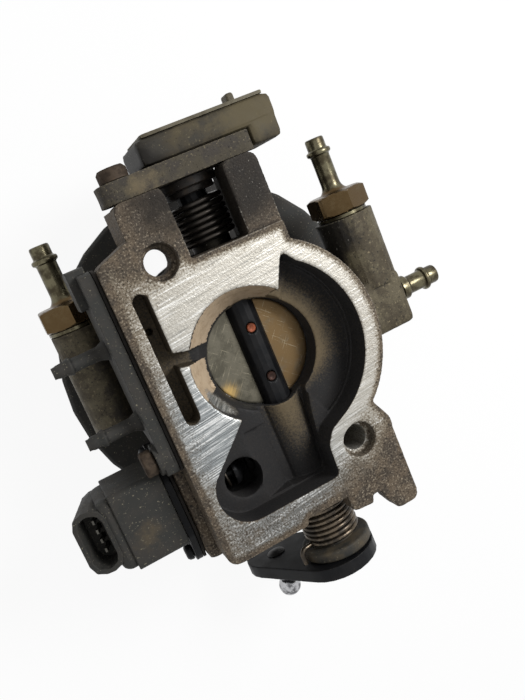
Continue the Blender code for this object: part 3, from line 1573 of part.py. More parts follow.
def make_shaft():
    """The throttle shaft: slotted for the plate, stepped for the lever and the sensor's drive."""
    step_y = LEVER_Y - LEVER_THICKNESS
    stub_y = step_y - GAP - NUT_THICKNESS - 0.001
    end_y = SENSOR_Y + SENSOR_POCKET - GAP
    shaft = cylinder("shaft", (0, step_y, SHAFT_Z), (0, end_y, SHAFT_Z), SHAFT_RADIUS)
    join(
        shaft,
        cylinder("stub", (0, stub_y, SHAFT_Z), (0, step_y + 0.002, SHAFT_Z), STUB_RADIUS, SMALL),
    )
    slot_half = PLATE_RADIUS + GAP
    thick = PLATE_THICKNESS / 2 + GAP
    cut(
        shaft,
        box(
            "plate slot",
            (-2 * SHAFT_RADIUS, -slot_half, SHAFT_Z - thick),
            (2 * SHAFT_RADIUS, slot_half, SHAFT_Z + thick),
        ),
    )
    for y in (-PLATE_SCREW_SPACING / 2, PLATE_SCREW_SPACING / 2):
        cut(
            shaft,
            cylinder(
                "plate screw hole",
                (0, y, SHAFT_Z - 2 * SHAFT_RADIUS),
                (0, y, SHAFT_Z + 2 * SHAFT_RADIUS),
                PLATE_SCREW_RADIUS + GAP,
                SMALL,
            ),
            cylinder(
                "plate screw pocket",
                (0, y, SHAFT_Z - 2 * SHAFT_RADIUS),
                (0, y, SHAFT_Z - SHAFT_RADIUS + PLATE_SCREW_POCKET),
                PLATE_SCREW_HEAD + GAP,
                SMALL,
            ),
        )
    part("throttle_shaft", shaft, "black_steel", SHAFT_AXIS)


def make_plate():
    """The throttle plate in the shaft's slot, and its two screws with their staked ends."""
    plate = cylinder(
        "plate",
        (0, 0, SHAFT_Z - PLATE_THICKNESS / 2),
        (0, 0, SHAFT_Z + PLATE_THICKNESS / 2),
        PLATE_RADIUS,
        ROUND,
    )
    for index, y in enumerate((PLATE_SCREW_SPACING / 2, -PLATE_SCREW_SPACING / 2)):
        low = (0, y, SHAFT_Z - PLATE_THICKNESS)
        high = (0, y, SHAFT_Z + PLATE_THICKNESS)
        cut(plate, cylinder("hole", low, high, PLATE_SCREW_RADIUS + GAP, SMALL))
        seat = SHAFT_Z - SHAFT_RADIUS + PLATE_SCREW_POCKET - GAP
        end = SHAFT_Z + SHAFT_RADIUS + 0.0001 - seat
        profile = [
            (0.0, end),
            (PLATE_SCREW_RADIUS, end - 0.0002),
            (PLATE_SCREW_RADIUS, 0.0),
            (PLATE_SCREW_HEAD, 0.0),
            (PLATE_SCREW_HEAD, -PLATE_SCREW_POCKET),
            (PLATE_SCREW_HEAD - 0.0008, -0.0018),
            (0.0, -0.0018),
        ]
        screw = turned("plate screw", profile, (0, y, seat), (0, 0, 1), SMALL)
        part(f"plate_screw_{index + 1}", screw, "copper_screw", SHAFT_AXIS)
    part("throttle_plate", plate, "brass_plate", SHAFT_AXIS)


def make_bushes():
    """The two shaft bushes: pressed into the casting, their noses guide the springs."""
    inner = SHAFT_RADIUS + GAP
    length = BUSH_GRIP + BUSH_NOSE
    low = (0, SPRING_SEAT_Y - BUSH_NOSE, SHAFT_Z)
    high = (0, NOTCH_FLOOR_Y - BUSH_GRIP, SHAFT_Z)
    part("lower_shaft_bush", ring("bush", low, (0, 1, 0), inner, BUSH_RADIUS, length), "plated_steel")
    part("upper_shaft_bush", ring("bush", high, (0, 1, 0), inner, BUSH_RADIUS, length), "plated_steel")


def make_lever_end():
    """The lever end: spring collar, lever, ball stud, nut and the main return spring."""
    hole = SHAFT_RADIUS + GAP
    hub = 0.9 * RETURN_COIL_RADIUS - RETURN_WIRE_RADIUS - 2 * GAP
    hub_length = COLLAR_THICKNESS + COLLAR_HUB
    collar_profile = [
        (hub, hub_length),
        (hub, COLLAR_THICKNESS),
        (COLLAR_RADIUS - 0.001, COLLAR_THICKNESS),
        (COLLAR_RADIUS, COLLAR_THICKNESS - 0.001),
        (COLLAR_RADIUS, 0.001),
        (COLLAR_RADIUS - 0.001, 0.0),
        (hole, 0.0),
        (hole, hub_length),
    ]
    foot = (0, COLLAR_Y - COLLAR_THICKNESS, SHAFT_Z)
    collar = turned("collar", collar_profile, foot, (0, 1, 0), FINE + 8, ring=True)
    part("spring_collar", collar, "black_plastic", SHAFT_AXIS)
    make_lever()
    nut_y = LEVER_Y - LEVER_THICKNESS - GAP
    nut = hex_bar("nut", (0, nut_y, SHAFT_Z), (0, nut_y - NUT_THICKNESS, SHAFT_Z), NUT_SIZE)
    nut_hole = cylinder(
        "nut hole",
        (0, nut_y + GAP, SHAFT_Z),
        (0, nut_y - NUT_THICKNESS - GAP, SHAFT_Z),
        STUB_RADIUS + GAP,
        SMALL,
    )
    part("lever_nut", cut(soften(nut, 0.0006, 1), nut_hole), "plated_steel", SHAFT_AXIS)
    make_return_spring()


def make_lever():
    """The lever: a round hub that tapers to the ball stud's arm, and the stud itself."""
    arm = (LEVER_STUD[0], SHAFT_Z + LEVER_STUD[1])
    outline = strap_outline(
        (LEVER_HUB[0], SHAFT_Z + LEVER_HUB[1]),
        LEVER_HUB_RADIUS,
        (LEVER_ARM[0], SHAFT_Z + LEVER_ARM[1]),
        LEVER_ARM_RADIUS,
    )
    lever = prism("lever", outline, 0.0, LEVER_THICKNESS, across_y(LEVER_Y))
    shaft_hole = cylinder(
        "shaft hole",
        (0, LEVER_Y + GAP, SHAFT_Z),
        (0, LEVER_Y - LEVER_THICKNESS - GAP, SHAFT_Z),
        SHAFT_RADIUS + GAP,
    )
    shank = 0.0025
    stud_hole = cylinder(
        "stud hole",
        (arm[0], LEVER_Y + GAP, arm[1]),
        (arm[0], LEVER_Y - LEVER_THICKNESS - GAP, arm[1]),
        shank + GAP,
        SMALL,
    )
    part("throttle_lever", cut(lever, shaft_hole, stud_hole), "black_steel", SHAFT_AXIS)
    seat_y = LEVER_Y - LEVER_THICKNESS - GAP
    neck = 0.0028
    ball = BALL_REACH
    top = ball + BALL_RADIUS
    drop = LEVER_THICKNESS + 2 * GAP
    profile = [(0.0, top)]
    for angle in (25, 50, 75, 100, 125, 140):
        turn = math.radians(angle)
        profile.append((BALL_RADIUS * math.sin(turn), ball + BALL_RADIUS * math.cos(turn)))
    profile += [
        (neck, 0.0032),
        (0.0046, 0.0026),
        (0.0046, 0.0),
        (shank, 0.0),
        (shank, -drop),
        (shank + 0.0016, -drop),
        (shank + 0.0010, -drop - 0.0010),
        (0.0, -drop - 0.0010),
    ]
    stud = turned("ball stud", profile, (arm[0], seat_y, arm[1]), (0, -1, 0))
    part("ball_stud", stud, "bright_steel", SHAFT_AXIS)


def make_return_spring():
    """The main return spring: a torsion coil with a straight foot and a hook over the collar."""
    radius = RETURN_COIL_RADIUS
    thick = RETURN_WIRE_RADIUS
    start_y = SPRING_SEAT_Y - GAP - 2.6 * thick
    coil = helix((0, start_y, SHAFT_Z), (0, -1, 0), radius, RETURN_TURNS, RETURN_PITCH, phase=RETURN_PHASE)
    first = Vector(coil[0])
    last = Vector(coil[-1])
    out = Vector((last.x, 0.0, last.z - SHAFT_Z)).normalized()
    hook = last + out * (COLLAR_RADIUS - radius + 2 * thick + GAP)
    tail = hook + Vector((0.0, COLLAR_Y - COLLAR_THICKNESS + 0.0005 - last.y, 0.0))
    foot = first + Vector((0.0, 1.6 * thick, 0.0))
    points = [tuple(foot), *coil, tuple(hook), tuple(tail)]
    least_gap("lever return spring", points[1:-2], thick, 6)
    part("lever_return_spring", wire("return spring", points, thick), "spring_steel")


def make_sensor_spring():
    """The second return spring in the notch between the posts, and its collar on the shaft."""
    radius = SENSOR_COIL_RADIUS
    thick = SENSOR_WIRE_RADIUS
    start_y = NOTCH_FLOOR_Y + GAP + 2.6 * thick
    coil = helix((0, start_y, SHAFT_Z), (0, 1, 0), radius, SENSOR_TURNS, SENSOR_PITCH, phase=90.0)
    first = Vector(coil[0])
    last = Vector(coil[-1])
    foot = first - Vector((0.0, 1.6 * thick, 0.0))
    collar_y = last.y + 2.6 * thick + GAP
    tail = last + Vector((0.0, 1.6 * thick, 0.0))
    points = [tuple(foot), *coil, tuple(tail)]
    least_gap("sensor return spring", points[1:-1], thick, 6)
    part("sensor_return_spring", wire("sensor spring", points, thick), "spring_steel")
    hole = SHAFT_RADIUS + GAP
    hub = SENSOR_COLLAR_RADIUS - 0.0028
    length = BRACKET_Y - GAP - collar_y
    profile = [
        (hub, length),
        (hub, SENSOR_COLLAR_THICKNESS),
        (SENSOR_COLLAR_RADIUS, SENSOR_COLLAR_THICKNESS),
        (SENSOR_COLLAR_RADIUS, 0.0),
        (hole, 0.0),
        (hole, length),
    ]
    collar = turned("sensor collar", profile, (0, collar_y, SHAFT_Z), (0, 1, 0), FINE, ring=True)
    part("sensor_spring_collar", collar, "rusty_steel", SHAFT_AXIS)


def make_sensor():
    """The throttle position sensor: bracket, housing with its socket, cover, rotor and screws."""
    bracket_top = FLANGE_Z - BRACKET_DROP
    bracket_low = bracket_top - BRACKET_HEIGHT
    outline = rounded(
        [
            (BRACKET_LEFT_X, bracket_top - 0.016, 0.005),
            (-0.012, bracket_top - 0.016, 0.003),
            (-0.010, bracket_low, 0.003),
            (BRACKET_RIGHT_X, bracket_low, 0.003),
            (BRACKET_RIGHT_X, bracket_top, 0.002),
            (BRACKET_LEFT_X, bracket_top, 0.004),
        ]
    )
    bracket = prism("bracket", outline, -BRACKET_THICKNESS, 0.0, across_y(BRACKET_Y))
    seats = sensor_screw_seats()
    length = BRACKET_THICKNESS + SENSOR_SCREW_GRIP - 2 * GAP
    sunk = seats[1]
    sunk_end = (sunk[0], SENSOR_Y, sunk[2])
    cut(
        bracket,
        cylinder(
            "shaft window",
            (0, BRACKET_Y - GAP, SHAFT_Z),
            (0, SENSOR_Y, SHAFT_Z),
            SHAFT_RADIUS + 2 * GAP,
        ),
        *[screw_hole(seat, (0, 1, 0), length, SENSOR_SCREW_RADIUS) for seat in seats],
        cylinder("sunk head", sunk, sunk_end, SENSOR_SCREW_HEAD + GAP, SMALL),
    )
    part("sensor_bracket", bracket, "cast_aluminium")
    for index, seat in enumerate(seats):
        shank = length - 0.0005 if index == 0 else length - SENSOR_SCREW_HEAD_HEIGHT
        profile = [
            (0.0, SENSOR_SCREW_HEAD_HEIGHT - 2 * GAP),
            (SENSOR_SCREW_HEAD - 0.001, SENSOR_SCREW_HEAD_HEIGHT - 2 * GAP),
            (SENSOR_SCREW_HEAD, SENSOR_SCREW_HEAD_HEIGHT - 0.0018),
            (SENSOR_SCREW_HEAD, 0.0),
            (SENSOR_SCREW_RADIUS, 0.0),
            (SENSOR_SCREW_RADIUS, -shank),
            (0.0, -shank),
        ]
        place = (seat[0], seat[1] + (0.0 if index == 0 else GAP), seat[2])
        screw = turned("sensor screw", profile, place, (0, 1, 0), SMALL)
        part(f"sensor_screw_{index + 1}", screw, "rusty_steel")
    make_sensor_housing()


def make_sensor_housing():
    """The sensor's moulded housing with its downward socket, the welded cover and the rotor."""
    top = FLANGE_Z - SENSOR_DROP
    low = top - SENSOR_HEIGHT
    far = SENSOR_Y + SENSOR_THICKNESS
    housing = box(
        "housing", (SENSOR_LEFT_X, SENSOR_Y, low), (SENSOR_RIGHT_X, far, top)
    )
    soften(housing, 0.0018, 2)
    end_block = box(
        "end block",
        (BRACKET_RIGHT_X + GAP, POST_END_Y + 0.0012, low + 0.002),
        (SENSOR_RIGHT_X - 0.0003, SENSOR_Y + 0.004, top - 0.0003),
    )
    join(housing, soften(end_block, 0.0018, 2))
    plug_right = SENSOR_RIGHT_X - 0.002
    plug_left = plug_right - PLUG_WIDTH
    plug_far = far - 0.0005
    plug = box(
        "plug",
        (plug_left, SENSOR_Y + 0.001, low - PLUG_LENGTH),
        (plug_right, plug_far, low - 2 * GAP),
    )
    neck = box(
        "plug neck",
        (plug_left + 0.003, SENSOR_Y + 0.0015, low - 0.003),
        (plug_right - 0.003, far - 0.0015, low + 0.003),
    )
    wall = PLUG_WALL
    socket = box(
        "plug socket",
        (plug_left + wall, SENSOR_Y + 0.001 + wall, low - PLUG_LENGTH - GAP),
        (plug_right - wall, plug_far - wall, low - 0.0035),
    )
    join(housing, neck, soften(plug, 0.0012, 2))
    pocket = cylinder(
        "rotor pocket",
        (0, SENSOR_Y - GAP, SHAFT_Z),
        (0, SENSOR_Y + SENSOR_POCKET, SHAFT_Z),
        ROTOR_RADIUS + 2 * GAP,
    )
    part("sensor_housing", cut(housing, socket, pocket), "black_plastic")
    cover_y = far + GAP
    inset = 0.0008
    outline = rounded(
        [
            (SENSOR_LEFT_X + 0.003, low + inset, 0.002),
            (SENSOR_RIGHT_X - 0.002, low + inset, 0.002),
            (SENSOR_RIGHT_X - 0.002, top - inset, 0.001),
            (SENSOR_LEFT_X + 0.003, top - inset, 0.001),
        ]
    )
    cover = prism("cover", outline, -SENSOR_COVER, 0.0, across_y(cover_y))
    rib_x = SENSOR_RIGHT_X - SENSOR_RIB_INSET
    rib = box(
        "rib",
        (rib_x - 0.0016, cover_y + SENSOR_COVER - 0.0008, low + 0.002),
        (rib_x + 0.0016, cover_y + SENSOR_COVER + 0.0055, SHAFT_Z - 0.004),
    )
    part("sensor_cover", join(cover, soften(rib, 0.0006, 1)), "black_plastic")
    hole = SHAFT_RADIUS + GAP
    rotor = ring(
        "rotor", (0, SENSOR_Y + GAP, SHAFT_Z), (0, 1, 0), hole, ROTOR_RADIUS, ROTOR_THICKNESS
    )
    part("sensor_rotor", rotor, "black_plastic", SHAFT_AXIS)


def build():
    """Make every piece of the assembly."""
    make_casting()
    make_body_gasket()
    make_fuel_body()
    make_air_horn()
    make_body_screws()
    make_fitting("inlet_fitting", INLET_X, INLET_BOSS_END_Y, INLET_Z, "plated_steel")
    make_fitting("return_fitting", RETURN_X, RETURN_BOSS_END_Y, RETURN_Z, "plated_steel")
    make_side_nipple()
    make_injector()
    make_regulator()
    make_vacuum_block()
    make_idle_valve()
    make_shaft()
    make_plate()
    make_bushes()
    make_lever_end()
    make_sensor_spring()
    make_sensor()


clear_scene()
PARTS = new_collection("throttle_body")
CUTTERS = new_collection("cutters")
FRAME = new_empty("bore_frame", (BORE_X, BORE_Y, 0.0))
SHAFT_AXIS = new_empty("shaft_axis", (0.0, 0.0, SHAFT_Z), FRAME)
PINTLE_AXIS = new_empty("pintle_axis", (IDLE_SEAT_X, IDLE_Y, IDLE_Z), FRAME)
MATERIALS = {name: new_material(name) for name in FINISHES}
build()
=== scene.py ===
"""Looks of a single-point injection throttle body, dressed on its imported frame.

Lengths are metres in the row frame. +Z leaves the manifold flange along the bore, +Y runs along the
throttle shaft towards the position sensor, and the object lies on its air horn at Z = 0.
"""

import json
import logging
import math
from dataclasses import dataclass, field
from enum import Enum

import bpy
import numpy as np
from mathutils import Matrix, Vector

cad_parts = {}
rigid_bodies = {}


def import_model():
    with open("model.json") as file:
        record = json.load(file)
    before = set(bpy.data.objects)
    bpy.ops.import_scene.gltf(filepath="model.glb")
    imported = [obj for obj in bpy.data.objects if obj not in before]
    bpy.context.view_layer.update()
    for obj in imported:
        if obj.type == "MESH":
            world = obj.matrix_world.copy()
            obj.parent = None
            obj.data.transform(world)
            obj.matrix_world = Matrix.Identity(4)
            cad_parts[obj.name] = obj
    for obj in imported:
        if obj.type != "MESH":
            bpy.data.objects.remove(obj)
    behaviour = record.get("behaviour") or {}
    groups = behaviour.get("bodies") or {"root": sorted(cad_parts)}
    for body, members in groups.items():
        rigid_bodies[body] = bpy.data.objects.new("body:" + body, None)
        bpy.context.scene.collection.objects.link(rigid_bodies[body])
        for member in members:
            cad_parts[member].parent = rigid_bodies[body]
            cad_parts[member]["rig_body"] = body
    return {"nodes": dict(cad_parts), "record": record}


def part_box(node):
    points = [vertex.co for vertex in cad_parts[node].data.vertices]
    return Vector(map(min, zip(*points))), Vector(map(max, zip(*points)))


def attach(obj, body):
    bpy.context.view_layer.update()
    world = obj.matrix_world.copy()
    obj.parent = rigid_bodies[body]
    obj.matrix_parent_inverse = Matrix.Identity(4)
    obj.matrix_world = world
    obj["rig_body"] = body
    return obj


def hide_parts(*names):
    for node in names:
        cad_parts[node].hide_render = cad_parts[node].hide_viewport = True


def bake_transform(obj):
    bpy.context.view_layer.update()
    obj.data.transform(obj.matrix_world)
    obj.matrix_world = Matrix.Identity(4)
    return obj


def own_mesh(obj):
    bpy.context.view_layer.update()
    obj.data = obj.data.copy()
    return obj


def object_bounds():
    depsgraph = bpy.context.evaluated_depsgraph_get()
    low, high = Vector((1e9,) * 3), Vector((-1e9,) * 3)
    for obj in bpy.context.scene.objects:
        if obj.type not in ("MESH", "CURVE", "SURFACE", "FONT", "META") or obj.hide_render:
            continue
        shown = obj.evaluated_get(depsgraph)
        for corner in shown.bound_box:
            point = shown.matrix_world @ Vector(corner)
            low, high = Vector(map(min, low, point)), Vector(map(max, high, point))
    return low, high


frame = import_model()
CAD_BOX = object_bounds()

LOG = logging.getLogger("throttle_body")
MM = 0.001
# The clearance between neighbouring CAD solids
GAP = 0.3 * MM
SLOTS = {row["node"]: row["material_slot"] for row in frame["record"]["subparts"]}
WHITE = (1.0, 1.0, 1.0, 1.0)
QUARTER = math.pi / 2
# Degrees past which an edge of a softened piece stays sharp
SOFT_CREASE = 70.0
# Millimetres across flats that limit nothing
NO_FLATS = 1000.0
# Points this close are one, and the factors that make one key of three whole coordinates
WELD_STEP = 1e-7
WELD_KEYS = np.array([1, 6_700_417, 44_895_587_973_889])

Socket = bpy.types.NodeSocket
Tree = bpy.types.NodeTree
Colour = tuple[float, float, float, float]
Pair = tuple[float, float]
Triple = tuple[float, float, float]
Array = np.ndarray
Piece = bpy.types.Object
Profile = list[tuple[float, ...]]


class Axis(Enum):
    """Directions of turned pieces in the row frame."""

    PLUS_X = (1.0, 0.0, 0.0)
    PLUS_Y = (0.0, 1.0, 0.0)
    PLUS_Z = (0.0, 0.0, 1.0)
    MINUS_Y = (0.0, -1.0, 0.0)


def linear(code: str) -> Colour:
    """Turn an sRGB hex colour into linear light.

    Args:
        code: A colour such as "#8d8a7a".

    Returns:
        Linear red, green, blue and an alpha of 1.
    """
    parts = [int(code[index : index + 2], 16) / 255.0 for index in (1, 3, 5)]
    light = [c / 12.92 if c <= 0.04045 else ((c + 0.055) / 1.055) ** 2.4 for c in parts]
    return (*light, 1.0)


def add(
    tree: Tree, kind: str, inputs: dict | None = None, output: int | str = 0, **options: object
) -> Socket | None:
    """Add a node, set its options, and fill or link its inputs.

    Args:
        tree: The node tree.
        kind: The node's type name.
        inputs: Input name or index to a value or to an output socket.
        output: The name or index of the output that is wanted.
        options: Attributes of the node itself.

    Returns:
        That output, or none where the node has no outputs.
    """
    node = tree.nodes.new(kind)
    for name, value in options.items():
        setattr(node, name, value)
    for name, value in (inputs or {}).items():
        if isinstance(value, Socket):
            tree.links.new(value, node.inputs[name])
        else:
            node.inputs[name].default_value = value
    return node.outputs[output] if node.outputs else None


def per_mm(size: float) -> float:
    """The texture scale whose features are size millimetres across."""
    return 1.0 / (size * MM)


def unit(vectors: Array) -> Array:
    """Rows scaled to length 1."""
    return vectors / np.maximum(np.linalg.norm(vectors, axis=-1, keepdims=True), 1e-20)


def ramp(value: Array, start: float, end: float) -> Array:
    """How far a value has come from start to end, from 0 to 1."""
    return np.clip((value - start) / (end - start), 0.0, 1.0)


def extent(node: str) -> Vector:
    """The size of a CAD node's box in millimetres."""
    low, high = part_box(node)
    return (high - low) / MM


@dataclass(frozen=True)
class Blot:
    """A soft round patch, in millimetres: its middle, reach and strength, at every height or at one."""

    x: float
    y: float
    reach: float
    strength: float
    z: float | None = None

    def over(self, points: Array) -> Array:
        """The patch's strength: a bell curve of the distance from its middle.

        Args:
            points: Points in metres.

        Returns:
            One strength for each point.
        """
        middle = (self.x, self.y) if self.z is None else (self.x, self.y, self.z)
        away = np.linalg.norm(points[:, : len(middle)] / MM - middle, axis=1)
        return self.strength * np.exp(-0.5 * (away / self.reach) ** 2)


Blots = tuple[Blot, ...]


def blotted(points: Array, blots: Blots) -> Array:
    """The strength of all patches together at points."""
    return sum(blot.over(points) for blot in blots)


@dataclass
class Surface:
    """A triangle mesh as arrays, with named values on its points."""

    points: Array
    faces: Array
    values: dict[str, Array] = field(default_factory=dict)

    def normals(self) -> Array:
        """Unit normals of the triangles: the cross product of two sides."""
        corners = self.points[self.faces]
        return unit(np.cross(corners[:, 1] - corners[:, 0], corners[:, 2] - corners[:, 0]))

    def edges(self) -> tuple[Array, Array]:
        """Find the edges that triangles share.

        Returns:
            Unique edges, and the three edge numbers of each triangle.
        """
        ends = self.faces[:, [[0, 1], [1, 2], [2, 0]]].reshape(-1, 2)
        size = len(self.points)
        keys, index = np.unique(ends.min(axis=1) * size + ends.max(axis=1), return_inverse=True)
        return np.stack([keys // size, keys % size], axis=1), index.reshape(-1, 3)

    def folds(self) -> tuple[Array, Array]:
        """Measure the angle across each edge.

        Returns:
            Unique edges and their signed angles: above 0 on ridges, below 0 in corners.
        """
        edges, sides = self.edges()
        order = np.argsort(sides.ravel(), kind="stable")
        starts = np.searchsorted(sides.ravel()[order], np.arange(len(edges)))
        first = order[starts] // 3
        second = order[np.minimum(starts + 1, len(order) - 1)] // 3
        normals = self.normals()
        centres = self.points[self.faces].mean(axis=1)
        cosine = np.clip((normals[first] * normals[second]).sum(axis=1), -1.0, 1.0)
        rise = ((centres[second] - centres[first]) * normals[first]).sum(axis=1)
        return edges, np.where(rise > 0, -1.0, 1.0) * np.arccos(cosine)

    def welded(self) -> "Surface":
        """Join equal points and drop the triangles that this closes.

        Returns:
            The joined surface.
        """
        keys = np.round(self.points / WELD_STEP).astype(np.int64) @ WELD_KEYS
        _, first, index = np.unique(keys, return_index=True, return_inverse=True)
        faces = index.reshape(-1)[self.faces]
        whole = (faces != np.roll(faces, 1, axis=1)).all(axis=1)
        return Surface(self.points[first], faces[whole])

    def outward(self) -> "Surface":
        """Turn the faces of a closed surface out, by the sign of its volume.

        Returns:
            The surface itself.
        """
        corners = self.points[self.faces]
        volume = (corners[:, 0] * np.cross(corners[:, 1], corners[:, 2])).sum()
        if volume < 0:
            self.faces = self.faces[:, ::-1]
        return self

    def marked(self, **values: Array | float) -> "Surface":
        """The surface with named values on its points, each an array or one number for all."""
        self.values |= {name: np.zeros(len(self.points)) + value for name, value in values.items()}
        return self

    def stained(self, **patches: Blots) -> "Surface":
        """The surface with the strength of soft patches as named values on its points."""
        return self.marked(**{name: blotted(self.points, blots) for name, blots in patches.items()})

    def drawn_out(self, column: int, reach: float, band: float = 0.2 * MM) -> "Surface":
        """Move the surface's high end along one axis.

        Args:
            column: The axis, 0 to 2.
            reach: How far it moves.
            band: How deep the moved end is.

        Returns:
            The surface itself.
        """
        place = self.points[:, column]
        place[place > place.max() - band] += reach
        return self


def cad_surface(node: str) -> Surface:
    """Read a CAD node's triangles and weld them.

    Args:
        node: The node's name.

    Returns:
        The node's surface at rest.
    """
    mesh = frame["nodes"][node].data
    points = np.empty(len(mesh.vertices) * 3)
    mesh.vertices.foreach_get("co", points)
    mesh.calc_loop_triangles()
    faces = np.empty(len(mesh.loop_triangles) * 3, dtype=np.int32)
    mesh.loop_triangles.foreach_get("vertices", faces)
    return Surface(points.reshape(-1, 3), faces.reshape(-1, 3).astype(np.int64)).welded()


def refine(surface: Surface, limit: float, near: Array | None = None) -> Surface:
    """Split long edges at their middles, with the triangles beside them, until all are short.

    Args:
        surface: The surface to divide.
        limit: The longest edge left, in metres.
        near: If given, only edges that touch one of these points are split.

    Returns:
        The divided surface.
    """
    points, faces = surface.points, surface.faces
    while True:
        edges, sides = Surface(points, faces).edges()
        long = np.linalg.norm(points[edges[:, 0]] - points[edges[:, 1]], axis=1) > limit
        if near is not None:
            flags = np.zeros(len(points), dtype=bool)
            flags[near] = True
            long &= flags[edges].any(axis=1)
        if not long.any():
            return Surface(points, faces)
        middle = np.full(len(edges), -1)
        middle[long] = len(points) + np.arange(long.sum())
        points = np.concatenate([points, points[edges[long]].mean(axis=1)])
        faces = split_faces(faces, middle[sides])


def split_faces(faces: Array, middle: Array) -> Array:
    """Cut triangles at the marked middles of their edges: into two, three or four.

    Args:
        faces: The triangles.
        middle: For each triangle's edges, the new point or -1.

    Returns:
        The new triangles.
    """
    marked = middle >= 0
    count = marked.sum(axis=1)
    corner, mid = faces[count == 3], middle[count == 3]
    parts = [faces[count == 0]]
    parts += [np.stack([corner[:, k], mid[:, k], mid[:, k - 1]], axis=1) for k in range(3)]
    parts.append(mid)
    for turn in range(3):
        order = [turn, (turn + 1) % 3, (turn + 2) % 3]
        one = (count == 1) & marked[:, turn]
        a, b, c = faces[one][:, order].T
        ab = middle[one][:, turn]
        parts += [np.stack(sides, axis=1) for sides in ((a, ab, c), (ab, b, c))]
        two = (count == 2) & ~marked[:, order[2]]
        a, b, c = faces[two][:, order].T
        ab, bc, _ = middle[two][:, order].T
        parts += [np.stack(sides, axis=1) for sides in ((ab, b, bc), (a, ab, bc), (a, bc, c))]
    return np.concatenate(parts)


def average(points: Array, ends: Array) -> Array:
    """The mean of each point's neighbours, or the point itself where it has none.

    Args:
        points: Values on the points, one row each.
        ends: Directed edges.

    Returns:
        The means, one row each.
    """
    count = np.bincount(ends[:, 0], minlength=len(points))
    columns = [np.bincount(ends[:, 0], column[ends[:, 1]], len(points)) for column in points.T]
    mean = np.stack(columns, axis=1) / np.maximum(count, 1)[:, None]
    return np.where(count[:, None] > 0, mean, points)


@dataclass(frozen=True)
class Softener:
    """Turns a faceted CAD solid into a fine one: round where it is round, with softly worn edges.

    Flat runs are divided to coarse and edges to fine. Facets under the crease angle are faired with
    a low-pass filter that keeps creases as curves, and then all edges are relaxed a little.
    """

    coarse: float
    fine: float
    crease: float = 38.0
    passes: int = 24
    rounds: int = 2
    rates: Pair = (0.5, -0.52)
    ridge_spread: int = 3
    ridge_gain: float = 1.6

    def creases(self, surface: Surface) -> tuple[Array, Array, Array]:
        """Edges, their signed folds, and which of them are creases."""
        edges, folds = surface.folds()
        return edges, folds, np.abs(folds) > math.radians(self.crease)

    def dress(self, node: str) -> Surface:
        """Divide, fair and soften a CAD node's surface.

        Args:
            node: The node's name.

        Returns:
            The fine surface, with the value "ridge" on its points.
        """
        solid = cad_surface(node)
        made = refine(solid, self.coarse)
        edges, _, sharp = self.creases(made)
        made = refine(made, self.fine, np.unique(edges[sharp]))
        edges, folds, sharp = self.creases(made)
        both = np.concatenate([edges, edges[:, ::-1]])
        made.points = self.faired(made.points, both, np.concatenate([sharp, sharp]))
        made.values["ridge"] = self.ridges(len(made.points), edges, folds, sharp)
        for _ in range(self.rounds):
            made.points = 0.5 * (made.points + average(made.points, both))
        made.points = np.clip(made.points, solid.points.min(axis=0), solid.points.max(axis=0))
        return made

    def faired(self, points: Array, both: Array, sharp: Array) -> Array:
        """Smooth facets by steps forward and back, with crease points kept on their creases.

        Args:
            points: The surface's points.
            both: Its edges, each in both directions.
            sharp: Which of these are creases.

        Returns:
            The moved points.
        """
        count = np.bincount(both[sharp, 0], minlength=len(points))[both[:, 0]]
        ends = both[(count == 0) | ((count == 2) & sharp)]
        for _ in range(self.passes):
            for rate in self.rates:
                points = points + rate * (average(points, ends) - points)
        return points

    def ridges(self, size: int, edges: Array, folds: Array, sharp: Array) -> Array:
        """How far each point is on a ridge (up to 1) or in a corner (down to -1), fading with distance.

        Args:
            size: The number of points.
            edges: The surface's edges.
            folds: Signed angles across them.
            sharp: Which edges are creases.

        Returns:
            One value for each point.
        """
        sign = np.where(sharp, np.clip(folds, -1.0, 1.0), 0.0)
        total = np.bincount(edges.ravel(), np.repeat(sign, 2), size)
        count = np.bincount(edges.ravel(), np.repeat(sharp, 2).astype(float), size)
        value = (total / np.maximum(count, 1.0))[:, None]
        both = np.concatenate([edges, edges[:, ::-1]])
        for _ in range(self.ridge_spread):
            value = 0.5 * (value + average(value, both))
        return np.clip(self.ridge_gain * value[:, 0], -1.0, 1.0)


def axes_along(direction: tuple[float, ...] | Array) -> Array:
    """Set up axes along a direction.

    Args:
        direction: A unit vector.

    Returns:
        Two unit vectors across it and the direction itself, as rows.
    """
    axis = np.array(direction)
    side = np.array((0.0, 1.0, 0.0)) if abs(axis[0]) > 0.9 else np.array((1.0, 0.0, 0.0))
    first = unit(np.cross(np.cross(axis, side), axis))
    return np.stack([first, np.cross(axis, first), axis])


def grid_surface(points: Array) -> Surface:
    """Close a grid of points into a surface: each row is a ring, and the end rows are single points.

    Args:
        points: The grid, as rows of columns of points.

    Returns:
        The surface, with two triangles for each cell.
    """
    rows, columns, _ = points.shape
    row, column = np.meshgrid(np.arange(rows - 1), np.arange(columns), indexing="ij")
    a, b = row * columns + column, row * columns + (column + 1) % columns
    c, d = b + columns, a + columns
    faces = [np.stack(corners, axis=-1).reshape(-1, 3) for corners in ((a, b, c), (a, c, d))]
    return Surface(points.reshape(-1, 3), np.concatenate(faces)).welded().outward()


